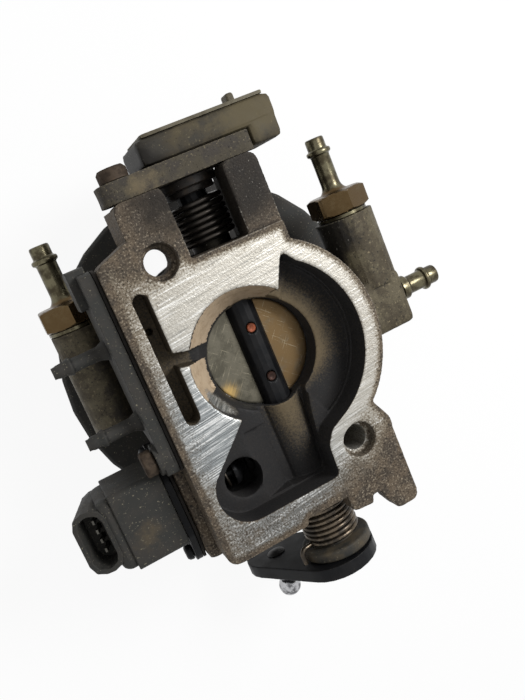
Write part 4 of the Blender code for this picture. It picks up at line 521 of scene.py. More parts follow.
def turned(node: str, profile: Profile, axis: Axis, segments: int = 96) -> Surface:
    """Carry a profile round an axis: point = start + h·axis + r·(cos a·u + sin a·v).

    A third number in a profile point is half a hexagon's width across flats, which limits r there
    to that over the cosine of the angle from the nearest flat's middle.

    Args:
        node: The CAD node; the axis runs through its box's middle, from the box's near side.
        profile: Points (r, h) or (r, h, half width across flats) in millimetres.
        axis: The direction of h.
        segments: Points round the axis, a multiple of 6.

    Returns:
        The closed surface.
    """
    low, high = (np.array(corner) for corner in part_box(node))
    rows = MM * np.array([(*point, NO_FLATS)[:3] for point in profile])
    angle = np.arange(segments) * 2 * math.pi / segments
    flat = np.cos((angle + math.pi / 6) % (math.pi / 3) - math.pi / 6)
    radius = np.minimum(rows[:, :1], rows[:, 2:] / flat)
    u, v, w = axes_along(axis.value)
    start = (low + high - w * (np.abs(w) @ (high - low))) / 2
    spokes = np.cos(angle)[:, None] * u + np.sin(angle)[:, None] * v
    return grid_surface(start + rows[:, 1, None, None] * w + radius[:, :, None] * spokes)


def wire(path: Array, radius: float, sides: int = 14) -> Surface:
    """A round wire: a circle carried along a path, turned as little as the path allows.

    Args:
        path: The wire's centre line.
        radius: The wire's radius.
        sides: Points round the wire.

    Returns:
        The closed surface, with flat ends.
    """
    tangent = unit(np.gradient(path, axis=0))
    side = axes_along(tangent[0])[0]
    sides_along = np.empty_like(path)
    for index, heading in enumerate(tangent):
        side = unit(side - heading * (side @ heading))
        sides_along[index] = side
    across = np.cross(tangent, sides_along)
    angle = (np.arange(sides) * 2 * math.pi / sides)[None, :, None]
    spokes = np.cos(angle) * sides_along[:, None] + np.sin(angle) * across[:, None]
    points = path[:, None] + radius * spokes
    first, last = (np.repeat(path[index, None, None], sides, 1) for index in (0, -1))
    return grid_surface(np.concatenate([first, points, last]))


def rounded_box(low: Vector, high: Vector, corner: float, edge: float, steps: int = 12) -> Surface:
    """A box along X with round corners: a rounded rectangle carried along X, drawn in at both ends.

    At each end the rectangle shrinks by edge·(1 - sin a) while x moves by edge·(1 - cos a).

    Args:
        low: The box's low corner.
        high: The box's high corner.
        corner: The radius of the four long edges.
        edge: The radius of the edges round both ends.
        steps: Points in each quarter circle.

    Returns:
        The closed surface.
    """
    angle = np.linspace(0.0, QUARTER, steps)
    inset, rise = edge * (1 - np.sin(angle)), edge * (1 - np.cos(angle))
    x = np.concatenate([[low.x], low.x + rise, high.x - rise[::-1], [high.x]])
    shrink = np.concatenate([[0.0], np.ones(2 * steps), [0.0]])[:, None]
    radius = np.maximum(corner - np.concatenate([[edge], inset, inset[::-1], [edge]]), 0.0)[:, None]
    turn = np.concatenate([angle + quarter * QUARTER for quarter in range(4)])
    middle, half = (low + high) / 2, (high - low) / 2
    sign_y = np.repeat([1.0, -1.0, -1.0, 1.0], steps)
    sign_z = np.repeat([1.0, 1.0, -1.0, -1.0], steps)
    y = middle.y + shrink * (sign_y * (half.y - corner) + radius * np.cos(turn))
    z = middle.z + shrink * (sign_z * (half.z - corner) + radius * np.sin(turn))
    return grid_surface(np.stack([np.broadcast_to(x[:, None], y.shape), y, z], axis=-1))


@dataclass
class Coats:
    """Colours laid over one another on one material."""

    tree: Tree
    place: Socket
    grain: Socket
    colour: Socket | Colour
    rough: Socket | float
    metal: Socket | float

    def lay(self, colour: Socket | str, value: Socket, low: float, high: float, most: float = 1.0) -> Socket:
        """Lay a colour over the others where a value climbs from low to high.

        Args:
            colour: A hex colour or a colour socket.
            value: What decides the place.
            low: Where the colour begins.
            high: Where it is full.
            most: Its share there.

        Returns:
            The share it has all over.
        """
        inputs = {"Value": value, "From Min": low, "From Max": high, "To Max": most}
        share = add(self.tree, "ShaderNodeMapRange", inputs, interpolation_type="SMOOTHSTEP")
        inputs = {0: share, 6: self.colour, 7: linear(colour) if isinstance(colour, str) else colour}
        self.colour = add(self.tree, "ShaderNodeMix", inputs, data_type="RGBA", output=2)
        return share

    def frayed(self, name: str, noise: Socket, amount: float) -> Socket:
        """A value on the points with noise added, so that its borders fray.

        Args:
            name: The value's name.
            noise: Noise about 0.5.
            amount: How much of it.

        Returns:
            The frayed value.
        """
        value = add(self.tree, "ShaderNodeAttribute", attribute_name=name, output="Fac")
        inputs = {0: noise, 1: amount, 2: -0.5 * amount}
        ragged = add(self.tree, "ShaderNodeMath", inputs, operation="MULTIPLY_ADD")
        return add(self.tree, "ShaderNodeMath", {0: value, 1: ragged}, operation="ADD")

    def streaks(self, turn: float, size: Triple) -> Socket:
        """Noise drawn out into lines.

        Args:
            turn: The lines' direction about Z, in degrees from +X.
            size: The length, width and height of a line.

        Returns:
            The noise, about 0.5.
        """
        inputs = {"Vector": self.place, "Rotation": (0.0, 0.0, math.radians(turn)), "Scale": size}
        across = add(self.tree, "ShaderNodeMapping", inputs, vector_type="TEXTURE")
        inputs = {"Vector": across, "Scale": 1.0, "Detail": 4.0, "Roughness": 0.75}
        return add(self.tree, "ShaderNodeTexNoise", inputs, output="Fac")


@dataclass(frozen=True)
class Finish:
    """A surface's look: a base colour with stains, specks, dirt and painted shade in corners, rubbed edges
    and rust.
    """

    name: str
    base: str
    stain: str
    corner_dirt_and_shade: str
    worn: str
    speck: str
    metallic: float
    roughness: float
    rust: str = "#5a3d28"
    oil: str = "#1b1917"
    # Pale flecks in the oil: painted glints of light
    painted_glint: str = "#b4b0a8"
    pit: str = "#191715"
    specular: float = 0.25
    patch_mm: float = 9.0
    grain_mm: float = 0.6
    bump_mm: float = 0.05
    stain_share: float = 0.5
    speck_mm: float = 1.2
    speck_share: float = 0.12
    pit_share: float = 0.0
    wear: float = 0.6
    # The share of the corners' dark coat: dirt and painted shade
    dirt: float = 0.8
    wet_roughness: float = 0.5
    uneven: float = 0.12

    def material(self) -> bpy.types.Material:
        """The finish as a material, made once.

        Returns:
            The material.
        """
        if self.name in bpy.data.materials:
            return bpy.data.materials[self.name]
        made = bpy.data.materials.new(self.name)
        made.use_nodes = True
        tree = made.node_tree
        tree.nodes.clear()
        place = add(tree, "ShaderNodeTexCoord", output="Object")
        inputs = {"Vector": place, "Scale": per_mm(self.grain_mm), "Detail": 4.0, "Roughness": 0.6}
        grain = add(tree, "ShaderNodeTexNoise", inputs, output="Fac")
        coats = Coats(tree, place, grain, linear(self.base), self.roughness, self.metallic)
        self.paint(coats)
        inputs = {"Height": grain, "Strength": 0.8, "Distance": self.bump_mm * MM}
        inputs = {
            "Base Color": coats.colour,
            "Roughness": coats.rough,
            "Metallic": coats.metal,
            "Specular IOR Level": self.specular,
            "Normal": add(tree, "ShaderNodeBump", inputs, output="Normal"),
        }
        shader = add(tree, "ShaderNodeBsdfPrincipled", inputs)
        add(tree, "ShaderNodeOutputMaterial", {"Surface": shader})
        return made

    def paint(self, coats: Coats) -> None:
        """Lay every coat of the finish."""
        self.ground(coats)
        self.edges(coats)

    def ground(self, coats: Coats) -> None:
        """Stains, pale specks, dark pits and rust over the base colour, and oil, in places painted shade,
        with painted glints over all.

        Args:
            coats: The material's coats.
        """
        tree = coats.tree
        inputs = {"Vector": coats.place, "Scale": per_mm(self.patch_mm), "Detail": 5.0, "Roughness": 0.65}
        patches = add(tree, "ShaderNodeTexNoise", inputs, output="Fac")
        edge = 0.68 - 0.36 * self.stain_share
        coats.lay(self.stain, patches, edge - 0.10, edge + 0.10)
        inputs = {"Vector": coats.place, "Scale": per_mm(self.speck_mm), "Detail": 3.0, "Roughness": 0.7}
        dots = add(tree, "ShaderNodeTexNoise", inputs, output="Fac")
        edge = 0.74 - 0.30 * self.speck_share
        coats.lay(self.speck, dots, edge - 0.05, edge + 0.05, 0.85)
        if self.pit_share > 0:
            edge = 0.26 + 0.30 * self.pit_share
            coats.lay(self.pit, dots, edge + 0.05, edge - 0.05, 0.85)
        coats.lay(self.rust, coats.frayed("rust", patches, 1.2), 0.25, 0.75, 0.9)
        smooth, dull = max(self.roughness - self.uneven, 0.05), min(self.roughness + self.uneven, 1.0)
        inputs = {"Value": patches, "From Min": 0.3, "From Max": 0.7, "To Min": smooth, "To Max": dull}
        dry = add(tree, "ShaderNodeMapRange", inputs)
        # Dark oil film: real oil, and where its patches lie in shadowed places, painted shade
        wet = coats.lay(self.oil, coats.frayed("oil", patches, 1.0), 0.3, 0.8, 0.92)
        coats.rough = add(tree, "ShaderNodeMix", {0: wet, 2: dry, 3: self.wet_roughness})
        # Painted glints: pale flecks where the oil and the specks meet
        painted_glint_mask = add(tree, "ShaderNodeMath", {0: wet, 1: dots}, operation="MULTIPLY")
        coats.lay(self.painted_glint, painted_glint_mask, 0.60, 0.68, 0.7)

    def edges(self, coats: Coats) -> None:
        """Rubbed ridges, and corners dark with dirt and painted shade.

        Args:
            coats: The material's coats.
        """
        ridge = add(coats.tree, "ShaderNodeAttribute", attribute_name="ridge", output="Fac")
        frayed = add(coats.tree, "ShaderNodeMath", {0: coats.grain, 1: ridge}, operation="MULTIPLY")
        coats.lay(self.worn, frayed, 0.24, 0.50, self.wear)
        # Corners, where ridge is below 0, are laid dark: dirt and painted shade
        coats.lay(self.corner_dirt_and_shade, frayed, -0.02, -0.34, self.dirt)


@dataclass(frozen=True)
class MachinedCasting(Finish):
    """A casting with a bare machined face, an inside dark with soot and painted shade, and tan varnish about
    its bore.
    """

    scratch: Triple = (22.0 * MM, 0.5 * MM, 22.0 * MM)
    scratch_turn: float = 6.0
    bare: str = "#a5a198"
    bare_cool: str = "#8b8f90"
    bright: str = "#e0e0de"
    streak: str = "#585b5d"
    edge_stain: str = "#857a68"
    stain_cool: str = "#6c6b67"
    # Soot, and the painted shade of every recess
    soot: str = "#2a2a2b"
    varnish: str = "#665a46"
    flare: str = "#bda98f"
    flare_brown: str = "#8a745b"
    bare_roughness: float = 0.42

    def paint(self, coats: Coats) -> None:
        """Lay the cast skin, the soot with painted shade and the varnish inside, and the bare face with its
        scratches.

        Args:
            coats: The material's coats.
        """
        tree = coats.tree
        self.ground(coats)
        inputs = {"Vector": coats.place, "Scale": per_mm(3.5), "Detail": 5.0, "Roughness": 0.7}
        ragged = add(tree, "ShaderNodeTexNoise", inputs, output="Fac")
        inputs = {"Vector": coats.place, "Scale": per_mm(0.75), "Detail": 3.0, "Roughness": 0.75}
        sand = add(tree, "ShaderNodeTexNoise", inputs, output="Fac")
        # Soot and painted shade: every recess below the face, but the bolt holes, is laid dark
        coats.lay(self.soot, coats.frayed("pocket", ragged, 0.4), 0.3, 0.6, 0.95)
        coats.lay(self.varnish, coats.frayed("varnish", sand, 1.2), 0.2, 1.0, 0.9)
        ring = coats.frayed("flare", ragged, 0.5)
        coats.lay(self.flare, ring, 0.3, 0.9, 0.95)
        coats.lay(self.flare_brown, ring, 0.95, 1.15, 0.7)
        sanded = add(tree, "ShaderNodeMath", {0: sand, 1: 2.2, 2: -1.1}, operation="MULTIPLY_ADD")
        rubbed = coats.frayed("bare", ragged, 0.8)
        clean = add(tree, "ShaderNodeMath", {0: rubbed, 1: sanded}, operation="ADD")
        cool = add(tree, "ShaderNodeAttribute", attribute_name="cool", output="Fac")
        coats.lay(self.tint(tree, cool, self.edge_stain, self.stain_cool), clean, -0.2, 0.5, 0.75)
        share = coats.lay(self.metal(coats, cool), clean, 0.15, 0.85)
        self.edges(coats)
        coats.metal = add(tree, "ShaderNodeMapRange", {"Value": share, "To Min": 0.2, "To Max": 0.7})
        inputs = {0: share, 2: coats.rough, 3: self.bare_roughness}
        coats.rough = add(tree, "ShaderNodeMix", inputs)

    def metal(self, coats: Coats, cool: Socket) -> Socket:
        """The bare face's colour: warm or cool, with scratches one way that are deeper where it is cool.

        Args:
            coats: The material's coats.
            cool: The share of the cool colour.

        Returns:
            The colour all over.
        """
        tree = coats.tree
        depth = add(tree, "ShaderNodeMath", {0: cool, 1: 0.8, 2: 0.7}, operation="MULTIPLY_ADD")
        inputs = {0: coats.streaks(self.scratch_turn, self.scratch), 1: 0.5}
        lines = add(tree, "ShaderNodeMath", inputs, operation="SUBTRACT")
        lines = add(tree, "ShaderNodeMath", {0: lines, 1: depth}, operation="MULTIPLY")
        ground = self.tint(tree, cool, self.bare, self.bare_cool)
        scored = Coats(tree, coats.place, coats.grain, ground, self.roughness, self.metallic)
        scored.lay(self.bright, lines, 0.0, 0.14, 0.85)
        scored.lay(self.streak, lines, -0.03, -0.16, 0.8)
        return scored.colour

    def tint(self, tree: Tree, share: Socket, warm: str, cool: str) -> Socket:
        """A colour that turns from warm to cool by a share."""
        inputs = {0: share, 6: linear(warm), 7: linear(cool)}
        return add(tree, "ShaderNodeMix", inputs, data_type="RGBA", output=2)


@dataclass(frozen=True)
class ScoredPlate(Finish):
    """A plate with fine scratches both ways and a painted warm gleam of reflected light."""

    score: str = "#aaa28c"
    gleam: str = "#c9a766"
    scratch: Triple = (14.0 * MM, 0.5 * MM, 14.0 * MM)
    turns: Pair = (-41.0, 49.0)

    def paint(self, coats: Coats) -> None:
        """Lay the soot, the scratches and the painted gleam.

        Args:
            coats: The material's coats.
        """
        self.ground(coats)
        for turn in self.turns:
            lines = coats.streaks(turn, self.scratch)
            coats.lay(self.score, lines, 0.61, 0.69, 0.65)
        # A painted warm reflection where the gleam patches lie
        coats.lay(self.gleam, coats.frayed("gleam", lines, 0.7), 0.3, 1.1, 0.8)
        self.edges(coats)


# Sand-rough cast aluminium that years of oil and road dirt have turned brown grey
CAST_SKIN = MachinedCasting(
    name="Oily cast aluminium",
    base="#49423a", stain="#615649", corner_dirt_and_shade="#1c1917", worn="#b3ada3", speck="#9c917f",
    metallic=0.2, roughness=0.66, specular=0.12, patch_mm=6.0, grain_mm=0.7, bump_mm=0.18,
    speck_mm=0.75, speck_share=0.43, pit_share=0.46,
)
# The same alloy in a bracket, never machined, under tan dust
BRACKET_SKIN = Finish(
    name="Dusty cast aluminium",
    base="#3d3934", stain="#4b463c", corner_dirt_and_shade="#1d1a17", worn="#867c6a", speck="#827860", rust="#6f6450",
    metallic=0.2, roughness=0.7, specular=0.15, patch_mm=6.0, bump_mm=0.14,
    speck_mm=0.9, speck_share=0.28, pit_share=0.36,
)
# Cast aluminium under a baked film of fuel varnish: dull olive tan
TAN_CASTING = Finish(
    name="Varnished cast aluminium",
    base="#564f3e", stain="#433c2f", corner_dirt_and_shade="#1d1a15", worn="#8a8068", speck="#82775f",
    metallic=0.2, roughness=0.6, patch_mm=8.0, bump_mm=0.12, speck_share=0.32, pit_share=0.38,
)
# Glass-filled nylon, moulded, greyed by dust and pale specks of dried spray
BLACK_PLASTIC = Finish(
    name="Dusty moulded nylon",
    base="#323230", stain="#393734", corner_dirt_and_shade="#121212", worn="#4a4742", speck="#8a8471", rust="#5a503f",
    metallic=0.0, roughness=0.6, specular=0.16, grain_mm=0.35, bump_mm=0.04,
    speck_mm=0.9, speck_share=0.25,
)
# Moulded nylon under a film of oil that has caught tan and olive dust
SENSOR_SHELL = Finish(
    name="Dust-filmed nylon",
    base="#38352f", stain="#453f34", corner_dirt_and_shade="#1f1c18", worn="#7d7561", speck="#7d755e", rust="#5a523f",
    metallic=0.0, roughness=0.62, specular=0.12, patch_mm=11.0, grain_mm=0.4, bump_mm=0.05,
    speck_share=0.24, pit_share=0.3,
)
# The sensor's thin lid, pale tan along its edge: rubbed there, and a painted highlight
SENSOR_LID = Finish(
    name="Rubbed tan lid",
    base="#5d5747", stain="#4d4739", corner_dirt_and_shade="#332e25", worn="#a79f88", speck="#5a5342",
    metallic=0.0, roughness=0.6, specular=0.2,
)
# Phosphated steel, black and oily
BLACK_STEEL = Finish(
    name="Oiled black steel",
    base="#131416", stain="#1b1b1c", corner_dirt_and_shade="#0f0e0d", worn="#3f3a34", speck="#3b332b",
    metallic=0.25, roughness=0.45, specular=0.14, grain_mm=0.4, bump_mm=0.015,
)
# Zinc-plated steel, its yellow passivation gone olive, with rust in the corners
PLATED_STEEL = Finish(
    name="Worn zinc plate",
    base="#68634f", stain="#423c2e", corner_dirt_and_shade="#241b13", worn="#a09b88", speck="#3e3122", rust="#57452c",
    metallic=0.85, roughness=0.31, patch_mm=4.0, grain_mm=0.4, bump_mm=0.02,
)
# Mild steel with a scale of brown rust
RUSTY_STEEL = Finish(
    name="Rusted steel",
    base="#44392e", stain="#332a22", corner_dirt_and_shade="#1c1613", worn="#6a5948", speck="#5e4630",
    metallic=0.15, roughness=0.8, patch_mm=3.0, grain_mm=0.5, bump_mm=0.09,
)
# Polished hard chrome on the ball, with a little grease; its dark stain patches are painted reflections
BRIGHT_STEEL = Finish(
    name="Polished steel",
    base="#b4b4b6", stain="#5e5e60", corner_dirt_and_shade="#232120", worn="#c9c9c9", speck="#6d6a66",
    metallic=1.0, roughness=0.2, patch_mm=3.0, grain_mm=0.4, bump_mm=0.004,
    speck_share=0.02, stain_share=0.45,
)
# Rolled brass, dulled grey by soot, tan where exhaust gas has baked on
BRASS_PLATE = ScoredPlate(
    name="Sooty brass plate",
    base="#666256", stain="#4f4c42", corner_dirt_and_shade="#39342a", worn="#8d8875", speck="#7d775f", rust="#685336",
    metallic=0.75, roughness=0.38, patch_mm=7.0, bump_mm=0.01,
)
# Copper-washed steel screw, staked over
COPPER_SCREW = Finish(
    name="Copper-washed steel",
    base="#8a4a32", stain="#6a3a28", corner_dirt_and_shade="#2b1b15", worn="#a9674a", speck="#4f2e22", rust="#1f1b19",
    metallic=0.5, roughness=0.5, patch_mm=2.0, grain_mm=0.3, bump_mm=0.03,
)
# Drawn spring wire under a film of oil
SPRING_STEEL = Finish(
    name="Oiled spring wire",
    base="#62584b", stain="#3d3832", corner_dirt_and_shade="#121110", worn="#7d7365", speck="#6b5c48", rust="#383532",
    metallic=0.85, roughness=0.34, patch_mm=4.0, grain_mm=0.3, bump_mm=0.02,
)
# Pressed fibre sheet, soaked dark at its edges
GASKET_PAPER = Finish(
    name="Fibre gasket sheet",
    base="#2f2c29", stain="#242220", corner_dirt_and_shade="#161514", worn="#45403a", speck="#4b453d",
    metallic=0.0, roughness=0.85, specular=0.15, grain_mm=0.3, bump_mm=0.04,
)
# Tin-plated brass strip, gone grey
TIN_TERMINAL = Finish(
    name="Tinned brass",
    base="#5d5b56", stain="#4a4843", corner_dirt_and_shade="#34312c", worn="#a8a6a0", speck="#56534b",
    metallic=0.9, roughness=0.4, grain_mm=0.2, bump_mm=0.005,
)

FINISH_OF_SLOT = {
    "cast_aluminium": BRACKET_SKIN,
    "tan_casting": TAN_CASTING,
    "black_plastic": BLACK_PLASTIC,
    "black_steel": BLACK_STEEL,
    "plated_steel": PLATED_STEEL,
    "rusty_steel": RUSTY_STEEL,
    "bright_steel": BRIGHT_STEEL,
    "brass_plate": BRASS_PLATE,
    "copper_screw": COPPER_SCREW,
    "spring_steel": SPRING_STEEL,
    "gasket_paper": GASKET_PAPER,
    "tin_terminal": TIN_TERMINAL,
}


def shape(
    node: str, surface: Surface, finish: Finish | None = None, crease: float = 35.0, rides: bool = False
) -> Piece:
    """Put a surface in the scene in the place of a CAD node.

    Args:
        node: The CAD node that the piece stands for.
        surface: The piece's surface in the row frame.
        finish: Its finish, or none for the one its slot gives.
        crease: The angle in degrees past which an edge stays sharp.
        rides: Whether it rides on the node's body, or is left untied.

    Returns:
        The new piece.
    """
    mesh = bpy.data.meshes.new(f"{node}_surface")
    mesh.from_pydata(surface.points, [], surface.faces)
    mesh.shade_smooth()
    mesh.set_sharp_from_angle(angle=math.radians(crease))
    for name, value in surface.values.items():
        layer = mesh.attributes.new(name, "FLOAT", "POINT")
        layer.data.foreach_set("value", value.astype(np.float32))
    mesh.materials.append((finish or FINISH_OF_SLOT[SLOTS[node]]).material())
    piece = bpy.data.objects.new(f"{node}_surface", mesh)
    bpy.context.scene.collection.objects.link(piece)
    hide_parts(node)
    LOG.info("%s: %d triangles", piece.name, len(surface.faces))
    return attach(piece, frame["nodes"][node]["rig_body"]) if rides else piece


def show(node: str, surface: Surface, finish: Finish | None = None, crease: float = 35.0) -> Piece:
    """A surface in the place of a CAD node, riding on the node's body."""
    return shape(node, surface, finish, crease, rides=True)


def soften(node: str, softener: Softener, finish: Finish | None = None, **patches: Blots) -> Piece:
    """A CAD node's softened copy in its place, with named patches on its points."""
    return show(node, softener.dress(node).stained(**patches), finish, SOFT_CREASE)


def distance_to(points: Array, segments: Array) -> Array:
    """The distance in a plane from each point to the nearest of some segments.

    Args:
        points: Points (x, y).
        segments: Pairs of ends.

    Returns:
        One distance for each point.
    """
    best = np.full(len(points), np.inf)
    for start, end in segments:
        along = end - start
        share = np.clip((points - start) @ along / max(along @ along, 1e-20), 0.0, 1.0)
        best = np.minimum(best, np.linalg.norm(points - start - share[:, None] * along, axis=1))
    return best


def inside(points: Array, segments: Array) -> Array:
    """Which points of a plane a closed outline holds, by counting the crossings of a ray.

    Args:
        points: Points (x, y).
        segments: The outline's segments.

    Returns:
        True for each point inside.
    """
    held = np.zeros(len(points), dtype=bool)
    for start, end in segments:
        spans = (start[1] > points[:, 1]) != (end[1] > points[:, 1])
        share = (points[:, 1] - start[1]) / (end[1] - start[1] if end[1] != start[1] else 1.0)
        held ^= spans & (points[:, 0] < start[0] + share * (end[0] - start[0]))
    return held


@dataclass
class LowerCasting:
    """The lower casting, and where it is bare, sooty with painted shade, varnished or dirty, in millimetres.
    """

    node: str = "throttle_casting"
    softener: Softener = Softener(2.9 * MM, 0.95 * MM)
    bore: Pair = (-0.4, 7.3)
    bore_radius: float = 21.0
    flare_middle: Pair = (-4.6, 8.8)
    flare_radius: float = 28.2
    flare_foot: float = 62.0
    flare_right: float = 8.6
    flare_low: float = 3.3
    face_band: Pair = (0.36, 0.06)
    clean_band: Pair = (0.6, 3.2)
    pocket_rim: float = 2.0
    pocket_depth: float = 0.35
    skin: float = -1.4
    varnish_start: float = 1.0
    varnish_reach: float = 8.0
    varnish_left: float = -4.4
    varnish_fade: Pair = (-18.0, -4.0)
    tunnel_width: float = 5.7
    tunnel_depth: float = 20.0
    tunnel_fade: Pair = (-45.0, -15.0)
    slot_right: float = -28.0
    slot_low: float = -4.0
    slot_varnish: float = 0.6
    branch: Triple = (-37.9, 22.3, 2.8)
    branch_slope: float = -0.24
    sheltered_depth: float = 2.5
    sheltered_end: float = 62.0
    sheltered_wear: float = 0.3
    bolt_holes: Blots = (Blot(-26.1, 55.0, 5.5, 1.4), Blot(17.1, -36.1, 5.5, 1.4))
    rubbed: Blots = (
        Blot(17.1, -36.1, 5.5, 3.0), Blot(-29.0, 2.0, 5.0, 2.0, 72.0), Blot(-25.0, -6.0, 5.0, 2.0, 70.0),
        Blot(-4.0, 34.5, 6.0, 1.3, 72.0), Blot(-20.0, 27.0, 4.0, 1.1, 72.0),
    )
    dirt: Blots = (
        Blot(-35.0, 65.0, 10.0, 1.5), Blot(-13.0, 69.0, 9.0, 1.5), Blot(3.0, 62.0, 7.5, 0.95),
        Blot(19.0, 58.5, 7.0, 0.9), Blot(-26.0, 58.0, 6.5, 0.8), Blot(-48.0, 47.0, 6.0, 0.7),
        Blot(-45.5, 35.0, 6.5, 0.55), Blot(-45.5, 20.0, 6.5, 0.60), Blot(-45.0, 5.0, 6.0, 0.50),
        Blot(-45.0, -10.0, 6.0, 0.50), Blot(-46.0, -28.0, 7.0, 0.60), Blot(-41.0, -48.0, 10.0, 0.75),
        Blot(-22.0, -50.0, 7.0, 0.50), Blot(-8.0, -51.0, 7.0, 0.52), Blot(4.0, -53.0, 7.0, 0.60),
        Blot(22.0, -31.0, 4.0, 0.60), Blot(24.0, -60.0, 9.5, 1.6), Blot(31.0, -43.0, 6.0, 1.2),
        Blot(12.0, -44.0, 6.0, 0.50), Blot(39.0, -10.0, 7.0, 0.25), Blot(38.0, 12.0, 7.0, 0.20),
    )
    cool: Blots = (
        Blot(-36.0, 4.0, 12.0, 0.9), Blot(-34.0, -16.0, 10.0, 1.0),
        Blot(-10.0, -50.0, 18.0, 0.9), Blot(-38.0, -46.0, 12.0, 0.6),
    )
    # Oil on the posts and the boss; the strong patch low in the notch between the posts is painted shade as
    # well
    oil: Blots = (
        Blot(18.0, 70.0, 13.0, 0.64, 74.0), Blot(-22.0, 74.0, 11.0, 0.56, 74.0),
        Blot(0.0, 66.0, 15.0, 1.6, 54.0), Blot(36.0, 34.0, 9.0, 1.2, 64.0),
    )

    def outline(self, surface: Surface, level: float = 0.01 * MM) -> Array:
        """The outer border of the machined face: of its borders, the one that reaches furthest along +X.

        Args:
            surface: The casting's CAD surface.
            level: How far below the top a point may lie and still be on the face.

        Returns:
            The border's segments in the plane.
        """
        top = surface.points[:, 2].max()
        flat = (surface.points[surface.faces][:, :, 2] > top - level).all(axis=1)
        edges, sides = Surface(surface.points, surface.faces[flat]).edges()
        border = edges[np.bincount(sides.ravel(), minlength=len(edges)) == 1]
        label = np.arange(len(surface.points))
        for _ in range(len(border)):
            least = label[border].min(axis=1)
            before = label.copy()
            np.minimum.at(label, border[:, 0], least)
            np.minimum.at(label, border[:, 1], least)
            if (label == before).all():
                break
        group = label[border[:, 0]]
        widest = group[np.argmax(surface.points[border[:, 0], 0])]
        return surface.points[border[group == widest]][:, :, :2]

    def varnished(self, x: Array, y: Array, depth: Array) -> Array:
        """How much tan varnish could lie at points: most by the bore, the shaft's tunnel and the T-slot.

        Args:
            x: The points' x.
            y: Their y.
            depth: Their depth below the face.

        Returns:
            One share for each point, 0 within the bore's radius.
        """
        away = np.hypot(x - self.bore[0], y - self.bore[1]) - self.bore_radius
        near = np.exp(-np.maximum(away - self.varnish_start, 0.0) / self.varnish_reach)
        near *= ramp(y, *self.varnish_fade) * (x > self.varnish_left)
        tunnel = np.exp(-0.5 * ((x - self.bore[0]) / self.tunnel_width) ** 2)
        tunnel *= ramp(y, *self.tunnel_fade) * (depth < self.tunnel_depth)
        slot = self.slot_varnish * ((x < self.slot_right) & (y > self.slot_low))
        return (away > 0) * np.maximum(np.maximum(near, tunnel), slot)

    def flared(self, x: Array, y: Array, z: Array) -> Array:
        """Which points may lie on the off-centre flare: not right of it, below it or in the slot's branch.

        Args:
            x: The points' x.
            y: Their y.
            z: Their z.

        Returns:
            True for each such point.
        """
        foot, middle, half = self.branch
        branch = np.abs(y - middle - self.branch_slope * (x - foot)) < half
        reach = np.hypot(x - self.flare_middle[0], y - self.flare_middle[1])
        near = (reach < self.flare_radius) & (z > self.flare_foot)
        return near & (x < self.flare_right) & (y > self.flare_low) & ~(branch & (x < self.bore[0]))

    def dress(self) -> None:
        """Show the casting with its zones on its points."""
        solid = cad_surface(self.node)
        border = self.outline(solid) / MM
        made = self.softener.dress(self.node)
        x, y, z = (made.points / MM).T
        flat = np.stack([x, y], axis=1)
        depth = solid.points[:, 2].max() / MM - z
        rim = distance_to(flat, border)
        within = inside(flat, border)
        level = ramp(depth, *self.face_band)
        face = level * ramp(rim, *self.clean_band) - blotted(made.points, self.dirt)
        pocket = within & (rim > self.pocket_rim) & (depth > self.pocket_depth)
        soot_and_shade = pocket * (1.0 - np.clip(blotted(made.points, self.bolt_holes), 0.0, 1.0))
        sheltered = (depth > self.sheltered_depth) & within | (y > self.sheltered_end)
        made.marked(
            bare=np.where(level > 0, face, self.skin + blotted(made.points, self.rubbed)),
            cool=np.clip(blotted(made.points, self.cool), 0.0, 1.0),
            oil=blotted(made.points, self.oil),
            pocket=soot_and_shade,
            varnish=soot_and_shade * self.varnished(x, y, depth),
            flare=pocket & self.flared(x, y, z),
            ridge=np.where(sheltered, self.sheltered_wear, 1.0) * made.values["ridge"],
        )
        show(self.node, made, CAST_SKIN, SOFT_CREASE)


